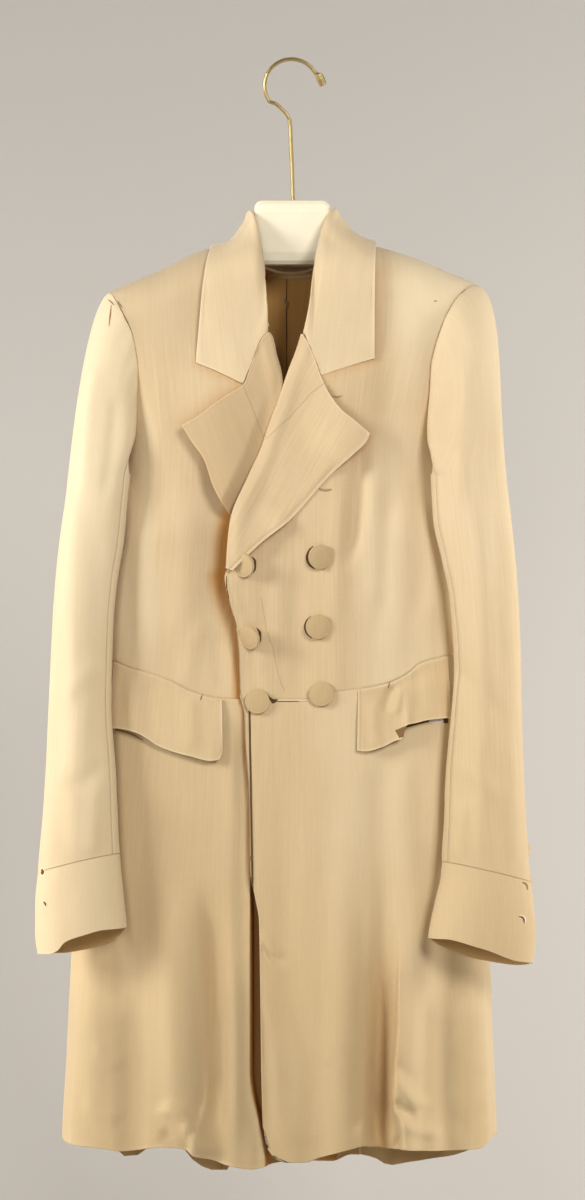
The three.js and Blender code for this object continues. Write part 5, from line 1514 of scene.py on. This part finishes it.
def linenMaterial(name, base, dark, pale, fine=1.0):
    material, t, shader = newMaterial(name)
    weave = node(t, "ShaderNodeGroup", node_tree=weaveGroup)
    age = node(t, "ShaderNodeGroup", node_tree=ageGroup)
    t.links.new(node(t, "ShaderNodeUVMap", uv_map="thread").outputs["UV"], weave.inputs["Thread"])
    t.links.new(node(t, "ShaderNodeTexCoord").outputs["Object"], age.inputs["Place"])
    for label, sock in (("stitch", "Stitch distance"), ("run", "Run"), ("line", "Line distance"),
                        ("beside", "Beside line")):
        t.links.new(attribute(t, label), age.inputs[sock])
    paintedLightShade, deep = attribute(t, "paintedLightShade"), attribute(t, "deep")

    def share(label):
        return maths(t, "MULTIPLY", age.outputs[label], linenLook[label])

    tone = span(t, weave.outputs["Slub"], 0.36, 0.64)
    colour = mixColour(t, linenLook["evenness"], mixColour(t, tone, dark, pale), base)
    # laid over the weave: a tone darker toward the bottom, painted light, painted shade, mottling, soil,
    # stitches, seams and painted brown shade
    for factor, laid in ((share("Low"), finish["linenLow"]),
                         (span(t, paintedLightShade, 0, 1, 0, linenLook["paintedLight"]), finish["paintedLight"]),
                         (span(t, paintedLightShade, 0, -1, 0, linenLook["paintedShade"]), finish["paintedShade"]),
                         (share("Mottle"), dark), (share("Soil"), finish["soil"]),
                         (share("Stitch"), finish["thread"]), (share("Seam"), finish["soil"]),
                         (deep, finish["deep"])):
        colour = mixColour(t, factor, colour, laid)
    t.links.new(colour, shader.inputs["Base Color"])
    shader.inputs["Roughness"].default_value = linenLook["rough"]
    t.links.new(span(t, deep, 0, 0.5, linenLook["sheen"], 0), shader.inputs["Sheen Weight"])
    shader.inputs["Sheen Roughness"].default_value = 0.5
    shader.inputs["Specular IOR Level"].default_value = 0.25
    height = weave.outputs["Height"]
    for label, dent in (("Stitch", "stitchDent"), ("Seam", "seamDent")):
        height = maths(t, "ADD", height, maths(t, "MULTIPLY", age.outputs[label], linenLook[dent]))
    addBump(t, shader, height, linenLook["bump"] * fine, 0.0006)
    return material


def plainMaterial(name, colour, rough, metal=0.0, vary=0.08, scale=40):
    material, t, shader = newMaterial(name)
    place = node(t, "ShaderNodeTexCoord").outputs["Object"]
    spots = noise(t, place, scale, 4, 0.6)
    darker = tuple(c * (1 - vary * 2.5) for c in colour)
    t.links.new(mixColour(t, span(t, spots, 0.35, 0.7), colour, darker), shader.inputs["Base Color"])
    t.links.new(span(t, spots, 0.3, 0.7, rough * 0.9, rough * 1.15), shader.inputs["Roughness"])
    shader.inputs["Metallic"].default_value = metal
    addBump(t, shader, noise(t, place, scale * 8, 3, 0.6), 0.15, 0.0005)
    return material


def linenFrom(name, base, dark, pale, fine=1.0):
    return linenMaterial(name, finish[base], finish[dark], finish[pale], fine)


# the inner faces get a browner copy of the linen, painted shade for the inside of the coat
shadedLinenInside = linenFrom("linen inside", "inside", "insideDark", "inside")
materials = {
    "linen": linenFrom("natural linen", "linen", "linenDark", "linenPale"),
    "button_cloth": linenFrom("button cloth", "button", "linenDark", "linen", 0.6),
    "hanger_body": plainMaterial("ivory plastic", finish["ivory"], 0.42, 0.0, 0.03, 30),
    "hanger_hook": plainMaterial("old brass", finish["brass"], 0.3, 1.0, 0.1, 90),
}
# shade, under and turn give sheets of painted shade
for kind, label, colour, rough in (
        ("thread", "linen thread", "soil", 0.85), ("soil", "soiled thread", "soil", 0.9),
        ("shade", "shadow paint", "shade", 0.95), ("lining", "pocket lining", "lining", 0.85),
        ("pale", "pale thread", "linenPale", 0.85), ("under", "crease shadow paint", "under", 0.9),
        ("turn", "turned edge shadow paint", "turn", 0.9)):
    materials[kind] = plainMaterial(label, finish[colour], rough)

# Hooked up to the frame
for name, entry in pieces.items():
    piece = entry["object"]
    if entry["slot"] == "button_cloth":
        piece.data.materials.clear()
    piece.data.materials.append(materials[entry["slot"]])
    if entry["slot"] == "linen" and name.split("_")[0] not in ("collar", "lapel", "flap"):
        piece.data.materials.append(shadedLinenInside)
    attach(piece, "root")
    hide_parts(name)
    kind, _, side = name.rpartition("_")
    if entry["slot"] == "linen":
        flat, area, held, carriers = cuts[kind or name]
        carriers = [c if c in pieces or c == "hanger_body" else c + "_" + side for c in carriers]
for piece, kind in markPieces:
    piece.data.materials.append(materials[kind])
    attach(piece, "root")
for name in ("hanger_body", "hanger_hook"):
    hanger = frame["nodes"][name].data
    hanger.materials.clear()
    hanger.materials.append(materials[name])

# Stage, light and camera
stageSet = {"floor": -1.42, "wallAt": 1.15, "wide": 9.0, "high": 4.0, "curve": 0.9}


def backdrop():
    floor, wallAt, curve = stageSet["floor"], stageSet["wallAt"], stageSet["curve"]
    line = [(-4.0, floor), (wallAt - curve, floor)]
    for k in range(1, 17):
        a = k / 16 * math.pi / 2
        line.append((wallAt - curve * (1 - math.sin(a)), floor + curve * (1 - math.cos(a))))
    line.append((wallAt, stageSet["high"]))
    half = stageSet["wide"] / 2
    points = [(x, y, z) for y, z in line for x in (-half, half)]
    faces = [(2 * k, 2 * k + 1, 2 * k + 3, 2 * k + 2) for k in range(len(line) - 1)]
    mesh = bpy.data.meshes.new("backdrop")
    mesh.from_pydata(points, [], faces)
    mesh.polygons.foreach_set("use_smooth", [True] * len(faces))
    material, t, shader = newMaterial("backdrop paper")
    place = node(t, "ShaderNodeSeparateXYZ")
    t.links.new(node(t, "ShaderNodeTexCoord").outputs["Object"], place.inputs[0])
    # painted shade: the paper darkens toward the top and the left
    high = maths(t, "SUBTRACT", place.outputs["Z"], maths(t, "MULTIPLY", place.outputs["X"], 0.7))
    colour = mixColour(t, span(t, high, -0.9, 0.5), finish["backdrop"], finish["backdropHigh"])
    t.links.new(colour, shader.inputs["Base Color"])
    shader.inputs["Roughness"].default_value = 0.95
    # seen from its front only
    sides = node(t, "ShaderNodeMixShader")
    t.links.new(node(t, "ShaderNodeNewGeometry").outputs["Backfacing"], sides.inputs[0])
    t.links.new(shader.outputs[0], sides.inputs[1])
    t.links.new(node(t, "ShaderNodeBsdfTransparent").outputs[0], sides.inputs[2])
    t.links.new(sides.outputs[0], t.nodes["Material Output"].inputs["Surface"])
    mesh.materials.append(material)
    return addObject("backdrop", mesh)


backdrop()


def areaLight(name, at, target, size, power, colour):
    data = bpy.data.lights.new(name, "AREA")
    data.shape = "RECTANGLE"
    data.size = data.size_y = size
    data.energy = power
    data.color = colour
    lamp = addObject(name, data)
    lamp.location = at
    lamp.rotation_euler = (Vector(target) - Vector(at)).to_track_quat("-Z", "Y").to_euler()


lamps = {  # place, what it points at, size, watts, colour
    "key": [(1.9, -4.7, 1.5), (0, 0, -0.5), 1.5, 167, (1.0, 0.985, 0.965)],
    "side lamp": [(-4.3, -2.3, 1.0), (0, 0, -0.5), 1.7, 192, (1.0, 0.985, 0.97)],
    "front lamp": [(-0.9, -7.4, 0.6), (0, 0, -0.5), 1.4, 64, (1.0, 0.98, 0.955)],
    "backdrop lamp left": [(-1.9, 0.1, -0.9), (-0.2, 1.15, -1.05), 0.8, 27, (1, 0.98, 0.96)],
    "backdrop lamp right": [(1.9, 0.1, -0.7), (0.3, 1.15, -0.85), 0.8, 31, (1, 0.98, 0.96)],
}
for name, lamp in lamps.items():
    areaLight(name, *lamp)
room = {"colour": (1.0, 0.84, 0.60, 1), "strength": 0.2}
world = bpy.data.worlds.new("studio")
bpy.context.scene.world = world
world.use_nodes = True
world.node_tree.nodes["Background"].inputs["Color"].default_value = room["colour"]
world.node_tree.nodes["Background"].inputs["Strength"].default_value = room["strength"]
bpy.context.scene.view_settings.view_transform = "Standard"

view = {"lens": 180, "sensor": 36, "far": 60, "at": (0.0015, -6.045, -0.543)}
lens = bpy.data.cameras.new("camera")
lens.lens = view["lens"]
lens.sensor_width = view["sensor"]
lens.clip_end = view["far"]
camera = addObject("camera", lens)
camera.location = view["at"]
camera.rotation_euler = (math.pi / 2, 0, 0)
bpy.context.scene.camera = camera

print("scene ready")
